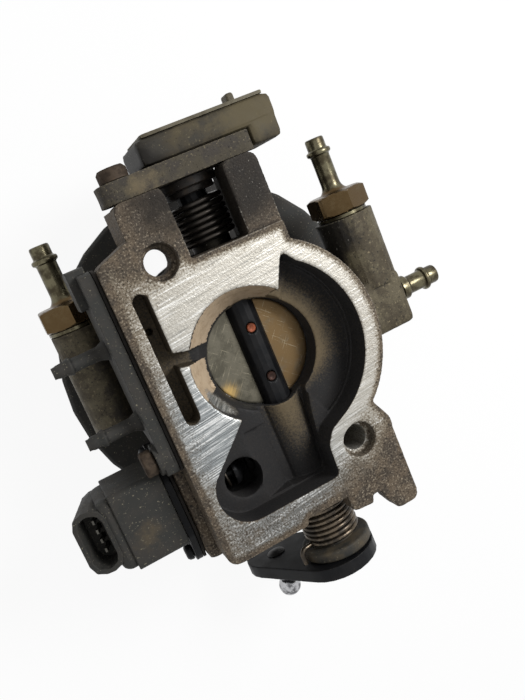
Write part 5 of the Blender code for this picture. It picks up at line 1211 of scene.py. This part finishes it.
@dataclass
class FuelBody:
    """The fuel meter body with its hexagon hose fittings and the side nipple, in millimetres.

    beaded_end is a hose end as (r, h) from the bottom of its bore to its stem, with h 0 at its mouth.
    """

    softener: Softener = Softener(2.0 * MM, 0.75 * MM, passes=40)
    stem: float = 4.0
    thread: float = 6.6
    flat: float = 11.0
    hex_length: float = 9.0
    root: Pair = (3.0, 4.0)
    shoulder: float = 9.9
    chamfer: tuple[float, ...] = (0.0, 0.35, 0.7, 1.0)
    chamfer_start: float = 10.67
    chamfer_slope: float = 2.145
    rust_fade: float = 3.0
    most_rust: float = 0.8
    beaded_end: tuple[Pair, ...] = (
        (0.0, -18.0), (2.6, -18.0), (2.6, -0.4), (3.0, 0.0), (3.3, 0.0),
        (3.8, -0.25), (4.0, -0.9), (4.0, -4.5), (4.3, -4.9), (5.0, -5.2),
        (5.2, -5.7), (5.2, -6.3), (5.0, -6.8), (4.2, -7.3), (4.0, -7.8),
    )
    oil: Blots = (
        Blot(46.0, 38.0, 10.0, 1.1, 47.0), Blot(38.0, 22.0, 8.0, 0.8, 45.0),
        Blot(-48.0, 30.0, 10.0, 0.9, 44.0), Blot(-50.0, 5.0, 9.0, 0.8, 44.0),
    )

    def nipple(self, tip: float) -> Profile:
        """The beaded hose end with its mouth at tip."""
        return [(r, tip + h) for r, h in self.beaded_end]

    def fitting(self, node: str) -> None:
        """Show one hexagon fitting on its washer.

        Args:
            node: The CAD fitting.
        """
        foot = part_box(node)[0].y
        seat = (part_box(f"{node}_washer")[1].y + GAP - foot) / MM
        top = seat + self.hex_length
        wide, tall = self.root
        turn = np.linspace(0.0, QUARTER, 8)
        chamfer = [(k, self.chamfer_start + self.chamfer_slope * k) for k in self.chamfer]
        profile = self.nipple(extent(node).y)
        profile += [(self.stem + wide * (1 - math.cos(a)), top + tall * (1 - math.sin(a))) for a in turn]
        profile += [(self.shoulder, top)]
        profile += [(r, top - k, self.flat) for k, r in chamfer]
        profile += [(r, seat + k, self.flat) for k, r in reversed(chamfer)]
        profile += [(self.thread, seat), (self.thread, 0.0), (0.0, 0.0)]
        made = turned(node, profile, Axis.PLUS_Y)
        height = (made.points[:, 1] - foot) / MM
        rust = np.minimum(ramp(height, top + self.rust_fade, top), self.most_rust)
        show(node, made.marked(rust=rust))

    def side_nipple(self) -> None:
        """Show the pressed-in nipple of the return block."""
        size = extent("side_nipple")
        seat = (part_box("fuel_meter_body")[1].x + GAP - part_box("side_nipple")[0].x) / MM
        collar = size.z / 2
        profile = self.nipple(size.x)
        profile += [(self.stem, seat + 4.0), (collar - 0.3, seat + 3.2), (collar, seat + 2.8)]
        profile += [(collar, seat), (self.stem, seat), (self.stem, 0.0), (0.0, 0.0)]
        show("side_nipple", turned("side_nipple", profile, Axis.PLUS_X))

    def dress(self) -> None:
        """Show the body, its fittings and its nipple."""
        soften("fuel_meter_body", self.softener, oil=self.oil)
        self.fitting("inlet_fitting")
        self.fitting("return_fitting")
        self.side_nipple()


@dataclass
class Mouldings:
    """Moulded and pressed pieces that keep their CAD form, softened."""

    moulded: Softener = Softener(2.0 * MM, 0.6 * MM, passes=30)
    small: Softener = Softener(1.5 * MM, 0.5 * MM)
    round_bar: Softener = Softener(2.5 * MM, 0.8 * MM, crease=50.0, passes=50)
    # Oil over the air horn under the notch, spread wide so that it also paints in the shade there
    oil: Blots = (Blot(10.0, 68.0, 22.0, 1.5),)
    dust: Blots = (Blot(-20.0, 82.0, 6.0, 0.55),)
    bush_oil: float = 1.2

    def dress(self) -> None:
        """Show every piece."""
        soften("air_horn", self.moulded, oil=self.oil)
        soften("sensor_bracket", self.moulded, rust=self.dust)
        bush = self.round_bar.dress("upper_shaft_bush")
        show("upper_shaft_bush", bush.marked(oil=self.bush_oil), crease=SOFT_CREASE)
        soften("vacuum_block", self.moulded)
        soften("throttle_shaft", self.round_bar)
        for node in ("throttle_lever", "idle_flange", "vacuum_bolt", "injector_clamp", "regulator_cover"):
            soften(node, self.small)


@dataclass
class ThrottleSensor:
    """The throttle position sensor: its shell and its thin lid."""

    softener: Softener = Softener(2.0 * MM, 0.6 * MM, passes=30)
    lid: Softener = Softener(1.5 * MM, 0.5 * MM)
    draw: float = 0.8 * GAP
    dust: Blots = (Blot(28.0, 88.0, 9.0, 0.8), Blot(5.0, 95.0, 12.0, 0.4))
    oil: Blots = (Blot(-19.0, 86.0, 9.0, 1.1),)

    def dress(self) -> None:
        """Show the shell, drawn up to its lid, and the lid."""
        shell = self.softener.dress("sensor_housing").drawn_out(1, self.draw)
        show("sensor_housing", shell.stained(rust=self.dust, oil=self.oil), SENSOR_SHELL, SOFT_CREASE)
        soften("sensor_cover", self.lid, SENSOR_LID)


@dataclass
class IdleValve:
    """The idle air valve: motor can, cap with its socket, screws and pintle."""

    softener: Softener = Softener(1.5 * MM, 0.45 * MM, crease=55.0, passes=30, rounds=1)
    corner: float = 2.4 * MM
    edge: float = 0.5 * MM
    can_grid: float = 2.0 * MM
    can_crease: float = 50.0
    draw: float = 1.1 * GAP
    dust: Blots = (Blot(-70.0, -32.0, 5.0, 0.35), Blot(-63.0, -38.0, 6.0, 0.25))

    def dress(self) -> None:
        """Show the can as a rounded box, the cap drawn up to it, and the small pieces."""
        can = refine(rounded_box(*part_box("idle_motor_can"), self.corner, self.edge), self.can_grid)
        show("idle_motor_can", can.stained(rust=self.dust), crease=self.can_crease)
        cap = self.softener.dress("idle_connector").drawn_out(0, self.draw)
        show("idle_connector", cap, crease=SOFT_CREASE)
        for node in ("idle_screw_1", "idle_screw_2", "idle_pintle"):
            soften(node, self.softener, BLACK_STEEL)


@dataclass
class Springs:
    """The three wound springs, as smooth wire on the coils that the CAD solids follow."""

    shaft: Pair = (-0.4 * MM, 54.0 * MM)
    wire_radius: float = 1.06 * MM
    pitch: float = 2.25 * MM
    per_turn: int = 40
    end_turn: float = 1.44 * MM
    lever_radius: float = 10.5 * MM
    lever_turns: int = 8
    lever_phase: float = 170.0
    lever_holds: Pair = (6.5 * MM, 2.5 * MM)
    tang_drop: float = 7.0 * MM
    hook_gap: float = 0.3 * MM
    reach: float = 6.1 * MM
    bend: float = 2.5 * MM
    sensor_radius: float = 9.8 * MM
    sensor_turns: int = 7
    sensor_phase: float = 90.0
    sensor_holds: Pair = (1.5 * MM, 1.0 * MM)
    sensor_rust: float = 0.9
    pintle_wire: float = 0.6 * MM
    pintle_turns: int = 7
    pintle_travel: float = 8.0 * MM
    pintle_rust: float = 0.6

    def dress(self) -> None:
        """Show the springs."""
        self.lever_spring()
        self.sensor_spring()
        self.pintle_spring()

    def lever_spring(self) -> None:
        """Show the lever's torsion spring, with a bent end on each side of its coil."""
        low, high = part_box("lever_return_spring")
        start = high.y - self.end_turn
        coil = self.coil(start, -self.pitch, self.lever_turns, self.lever_phase, self.lever_radius, 1.0)
        tang = self.tang(coil[0], self.tang_drop)[::-1]
        hook = self.tang(coil[-1], coil[-1, 1] - low.y - self.hook_gap)
        made = wire(np.concatenate([tang, coil, hook]), self.wire_radius)
        self.twist("lever_return_spring", made)

    def sensor_spring(self) -> None:
        """Show the torsion spring at the sensor's end."""
        low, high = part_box("sensor_return_spring")
        start = low.y + self.end_turn
        coil = self.coil(start, self.pitch, self.sensor_turns, self.sensor_phase, self.sensor_radius, -1.0)
        made = wire(coil, self.wire_radius).marked(rust=self.sensor_rust)
        self.twist("sensor_return_spring", made)

    def pintle_spring(self) -> None:
        """Show the pintle's spring: a helix along X that fills the CAD spring's box."""
        low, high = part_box("idle_pintle_spring")
        turn = np.linspace(0.0, self.pintle_turns, self.pintle_turns * self.per_turn + 1)
        middle, half = (low + high) / 2, (high - low) / 2
        radius = half.z - self.pintle_wire
        x = low.x + self.pintle_wire + 2 * (half.x - self.pintle_wire) * turn / self.pintle_turns
        y = middle.y + radius * np.cos(2 * math.pi * turn)
        z = middle.z + radius * np.sin(2 * math.pi * turn)
        made = wire(np.stack([x, y, z], axis=1), self.pintle_wire).marked(rust=self.pintle_rust)
        piece = show("idle_pintle_spring", made)
        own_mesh(piece)

    def twist(self, node: str, made: Surface) -> None:
        """Show a torsion spring between the housing and the shaft.

        Args:
            node: The CAD spring.
            made: Its wire.
        """
        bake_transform(shape(node, made))

    def coil(
        self, start: float, pitch: float, turns: int, phase: float, radius: float, hand: float
    ) -> Array:
        """A helix about the shaft: x and z go round while y climbs by the pitch each turn.

        Args:
            start: The first turn's y.
            pitch: The climb of a turn along y.
            turns: The number of turns.
            phase: The first point's angle in degrees.
            radius: The coil's radius.
            hand: 1 or -1, the way round.

        Returns:
            The wire's centre line.
        """
        turn = np.linspace(0.0, turns, turns * self.per_turn + 1)
        angle = 2 * math.pi * turn + math.radians(phase)
        x = self.shaft[0] + radius * np.cos(angle)
        z = self.shaft[1] + hand * radius * np.sin(angle)
        return np.stack([x, start + pitch * turn, z], axis=1)

    def tang(self, foot: Array, drop: float) -> Array:
        """A wire end that leaves a coil outwards and bends along -Y round a quarter circle.

        Args:
            foot: The coil's end.
            drop: How far the end runs along -Y.

        Returns:
            The end's centre line, from next to the coil.
        """
        out = unit(np.array([foot[0] - self.shaft[0], 0.0, foot[2] - self.shaft[1]]))
        bend = min(self.bend, drop * 0.9)
        angle = np.linspace(0.0, QUARTER, 10)
        straight = np.linspace(0.25, 1.0, 6) * (self.reach - bend)
        far = np.concatenate([straight, self.reach - bend + bend * np.sin(angle), [self.reach]])
        along = np.concatenate([np.zeros_like(straight), bend * (1 - np.cos(angle)), [drop]])
        return foot + far[:, None] * out - along[:, None] * np.array(Axis.PLUS_Y.value)


@dataclass
class ThrottlePieces:
    """The round pieces of the throttle: plate, staked screws, collars and the ball stud.

    Lengths are millimetres.
    """

    plate_edge: float = 0.3
    plate_growth: float = 0.15
    plate_rust: float = 0.75
    rust_fade: float = 10.0
    shank: float = 1.8
    ball: float = 4.8
    ball_end: float = 146.0
    stud_foot: float = 6.9
    stud_oil: float = 1.5
    drum: float = 9.6
    drum_flange: float = 11.6
    drum_oil: float = 0.75
    disc_thickness: float = 4.5
    disc_edge: float = 1.0
    hub: float = 7.95
    hub_rust: float = 0.42
    # A painted warm reflection on the plate, as two soft patches
    gleam: Blots = (Blot(-18.0, -3.0, 2.6, 0.9), Blot(-14.0, 0.0, 6.0, 0.3))

    def plate(self) -> None:
        """Show the plate: a disc whose rim is a half round, and which takes up half the gap round it."""
        low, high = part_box("throttle_plate")
        size = extent("throttle_plate")
        radius = size.y / 2 + self.plate_growth
        turn = np.linspace(0.0, math.pi, 9)
        rim = [(radius - self.plate_edge * (1 - math.sin(a)), size.z * (1 - math.cos(a)) / 2) for a in turn]
        rings = [radius * share for share in np.linspace(0.0, 0.95, 14)]
        profile = [(r, 0.0) for r in rings] + rim + [(r, size.z) for r in reversed(rings)]
        made = turned("throttle_plate", profile, Axis.PLUS_Z, 144)
        middle = (low.x + high.x) / 2
        rust = np.minimum(ramp(made.points[:, 0], middle, middle + self.rust_fade * MM), self.plate_rust)
        show("throttle_plate", made.marked(rust=rust).stained(gleam=self.gleam))

    def screw(self, node: str, soot: float) -> None:
        """Show a plate screw: head below, shank up and a staked end with a dimple.

        Args:
            node: The CAD screw.
            soot: How black it is.
        """
        size = extent(node)
        head, top, shank = size.x / 2, size.z, self.shank
        profile = [(0.0, 0.0), (head - 0.8, 0.0), (head, 0.6), (head, 1.8), (shank, 1.8)]
        profile += [(shank, top - 0.3), (shank - 0.3, top), (0.7, top - 0.05), (0.0, top - 0.45)]
        show(node, turned(node, profile, Axis.PLUS_Z, 48).marked(rust=soot))

    def ball_stud(self) -> None:
        """Show the ball stud: a sphere on a waisted neck with a riveted foot."""
        centre = extent("ball_stud").y - self.ball
        foot = self.stud_foot
        profile = [(0.0, 0.0), (1.6, 0.1), (3.0, 0.5), (3.7, 0.8), (4.0, 1.0), (2.5, 1.0), (2.5, foot)]
        profile += [(4.6, foot), (4.6, foot + 2.3), (4.3, foot + 2.6), (2.8, foot + 3.4)]
        turn = np.linspace(math.radians(self.ball_end), 0.0, 28)
        profile += [(self.ball * math.sin(a), centre + self.ball * math.cos(a)) for a in turn]
        made = turned("ball_stud", profile, Axis.MINUS_Y, 72)
        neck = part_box("ball_stud")[1].y - (foot + 3.0) * MM
        show("ball_stud", made.marked(oil=self.stud_oil * (made.points[:, 1] > neck)))

    def sensor_collar(self) -> None:
        """Show the sensor spring's collar: a drum that holds the coil, with a wider flange behind."""
        length = extent("sensor_spring_collar").y
        drum, flange = self.drum, self.drum_flange
        profile = [(0.0, 0.0), (8.0, 0.0), (drum - 0.4, 0.0), (drum, 0.4), (drum, 2.2)]
        profile += [(flange - 0.4, 2.4), (flange, 2.8), (flange, length), (0.0, length)]
        made = turned("sensor_spring_collar", profile, Axis.PLUS_Y)
        show("sensor_spring_collar", made.marked(oil=self.drum_oil))

    def lever_collar(self) -> None:
        """Show the lever spring's collar: a hub for the coil on a thick disc with round edges."""
        size = extent("spring_collar")
        radius, length = size.z / 2, size.y
        thick, edge, hub = self.disc_thickness, self.disc_edge, self.hub
        turn = np.linspace(0.0, QUARTER, 6)
        profile = [(0.0, 0.0)]
        profile += [(radius - edge * (1 - math.sin(a)), edge * (1 - math.cos(a))) for a in turn]
        profile += [(radius - edge * (1 - math.cos(a)), thick - edge * (1 - math.sin(a))) for a in turn]
        profile += [(hub + 0.6, thick), (hub, thick + 0.6), (hub, length - 0.5)]
        profile += [(hub - 0.5, length), (0.0, length)]
        made = turned("spring_collar", profile, Axis.PLUS_Y)
        show("spring_collar", made.marked(rust=self.hub_rust))

    def dress(self) -> None:
        """Show the pieces."""
        self.lever_collar()
        self.plate()
        self.screw("plate_screw_1", 0.0)
        self.screw("plate_screw_2", 1.2)
        self.ball_stud()
        self.sensor_collar()


def smooth_group(crease: float = 50.0) -> Tree:
    """A node group that joins loose triangles and shades them smooth up to a crease.

    Args:
        crease: The angle in degrees past which an edge stays sharp.

    Returns:
        The geometry node group.
    """
    tree = bpy.data.node_groups.new("smooth", "GeometryNodeTree")
    tree.interface.new_socket("Mesh", in_out="INPUT", socket_type="NodeSocketGeometry")
    tree.interface.new_socket("Mesh", in_out="OUTPUT", socket_type="NodeSocketGeometry")
    mesh = add(tree, "NodeGroupInput")
    mesh = add(tree, "GeometryNodeRemoveAttribute", {"Geometry": mesh, "Name": "custom_normal"})
    mesh = add(tree, "GeometryNodeMergeByDistance", {"Geometry": mesh, "Distance": 1e-6})
    mesh = add(tree, "GeometryNodeSetShadeSmooth", {"Geometry": mesh, "Shade Smooth": True})
    inputs = {0: add(tree, "GeometryNodeInputMeshEdgeAngle"), 1: math.radians(crease)}
    sharp = add(tree, "FunctionNodeCompare", inputs, operation="GREATER_THAN")
    inputs = {"Geometry": mesh, "Selection": sharp, "Shade Smooth": False}
    mesh = add(tree, "GeometryNodeSetShadeSmooth", inputs, domain="EDGE")
    add(tree, "NodeGroupOutput", {0: mesh})
    return tree


def finish_other_nodes() -> None:
    """Give each CAD node that still shows its slot's finish, welded and smooth up to a crease."""
    tree = smooth_group()
    for node, item in frame["nodes"].items():
        if item.hide_render:
            continue
        item.data.materials.clear()
        item.data.materials.append(FINISH_OF_SLOT[SLOTS[node]].material())
        item.modifiers.new("smooth", "NODES").node_group = tree


@dataclass(frozen=True)
class Studio:
    """The pale floor, soft light and the camera at the photograph's place."""

    image_px: Pair = (525.0, 700.0)
    focal_px: float = 760.0
    bore_px: Pair = (5.0, 290.0)
    shaft_slope: Pair = (-0.387, -0.922)
    eye: Triple = (-0.0763, 0.0665, 0.337)
    sensor_mm: float = 36.0
    near_clip: float = 0.01
    floor_size: float = 6.0
    floor_gap: float = 0.2 * MM
    floor_glow: float = 0.92
    ambient: float = 0.42
    key_watts: float = 3.2
    key_size: float = 0.22
    key_place: Triple = (0.34, 0.16, 0.52)
    key_aim: Triple = (0.0, 0.0, 0.04)

    def camera(self) -> None:
        """Set the camera by the point where lines along the bore meet and by the shaft's slope."""
        middle = np.array(self.image_px) / 2
        down_bore = np.array([*((np.array(self.bore_px) - middle) / self.focal_px), 1.0])
        row_z = -unit(down_bore)
        slope = np.array([*self.shaft_slope, 0.0])
        slope[2] = -(slope @ row_z) / row_z[2]
        row_y = unit(slope)
        row_x = np.cross(row_y, row_z)
        right, down, ahead = np.stack([row_x, row_y, row_z], axis=1)
        data = bpy.data.cameras.new("camera")
        data.sensor_width = self.sensor_mm
        data.lens = self.focal_px * self.sensor_mm / max(self.image_px)
        data.clip_start = self.near_clip
        camera = bpy.data.objects.new("camera", data)
        turn = Matrix(np.stack([right, -down, -ahead], axis=1).tolist())
        camera.matrix_world = Matrix.Translation(self.eye) @ turn.to_4x4()
        bpy.context.scene.collection.objects.link(camera)
        bpy.context.scene.camera = camera

    def backdrop_share(self, tree: Tree) -> Socket:
        """1 for rays that see the backdrop: from the camera, off gloss or through glass.

        Args:
            tree: The node tree of the floor or the surround.

        Returns:
            The share.
        """
        seen = add(tree, "ShaderNodeLightPath", output="Is Camera Ray")
        for name in ("Is Glossy Ray", "Is Transmission Ray"):
            inputs = {0: seen, 1: add(tree, "ShaderNodeLightPath", output=name)}
            seen = add(tree, "ShaderNodeMath", inputs, operation="MAXIMUM")
        return seen

    def world(self) -> None:
        """A white surround that lights the object softly."""
        world = bpy.data.worlds.new("surround")
        world.use_nodes = True
        tree = world.node_tree
        tree.nodes.clear()
        inputs = {"Value": self.backdrop_share(tree), "To Min": self.ambient, "To Max": 1.0}
        level = add(tree, "ShaderNodeMapRange", inputs)
        light = add(tree, "ShaderNodeBackground", {"Color": WHITE, "Strength": level})
        add(tree, "ShaderNodeOutputWorld", {"Surface": light})
        bpy.context.scene.world = world

    def floor(self) -> None:
        """A pale floor under the air horn that stays white and keeps a faint shadow."""
        half = self.floor_size / 2
        level = CAD_BOX[0].z - self.floor_gap
        mesh = bpy.data.meshes.new("floor")
        corners = [(-half, -half, level), (half, -half, level), (half, half, level), (-half, half, level)]
        mesh.from_pydata(corners, [], [(0, 1, 2, 3)])
        made = bpy.data.materials.new("Pale floor")
        made.use_nodes = True
        tree = made.node_tree
        tree.nodes.clear()
        paint = add(tree, "ShaderNodeBsdfDiffuse", {"Color": linear("#f4f4f4")})
        glow = add(tree, "ShaderNodeEmission", {"Color": WHITE, "Strength": 1.0})
        inputs = {"Value": self.backdrop_share(tree), "To Max": self.floor_glow}
        share = add(tree, "ShaderNodeMapRange", inputs)
        both = add(tree, "ShaderNodeMixShader", {0: share, 1: paint, 2: glow})
        add(tree, "ShaderNodeOutputMaterial", {"Surface": both})
        mesh.materials.append(made)
        floor = bpy.data.objects.new("floor", mesh)
        bpy.context.scene.collection.objects.link(floor)

    def lamps(self) -> None:
        """One large soft lamp from the right of the picture."""
        data = bpy.data.lights.new("key", "AREA")
        data.energy = self.key_watts
        data.size = self.key_size
        lamp = bpy.data.objects.new("key", data)
        lamp.location = Vector(self.key_place)
        lamp.rotation_mode = "QUATERNION"
        lamp.rotation_quaternion = (Vector(self.key_aim) - lamp.location).to_track_quat("-Z", "Y")
        bpy.context.scene.collection.objects.link(lamp)

    def dress(self) -> None:
        """Set up everything."""
        bpy.context.scene.view_settings.view_transform = "Standard"
        self.camera()
        self.world()
        self.floor()
        self.lamps()


def main() -> None:
    """Build every sub-assembly, then the studio."""
    logging.basicConfig(level=logging.INFO, format="%(message)s")
    parts = (LowerCasting, FuelBody, Mouldings, ThrottleSensor, IdleValve, Springs, ThrottlePieces)
    for part in parts:
        part().dress()
    finish_other_nodes()
    Studio().dress()


if __name__ == "__main__":
    main()
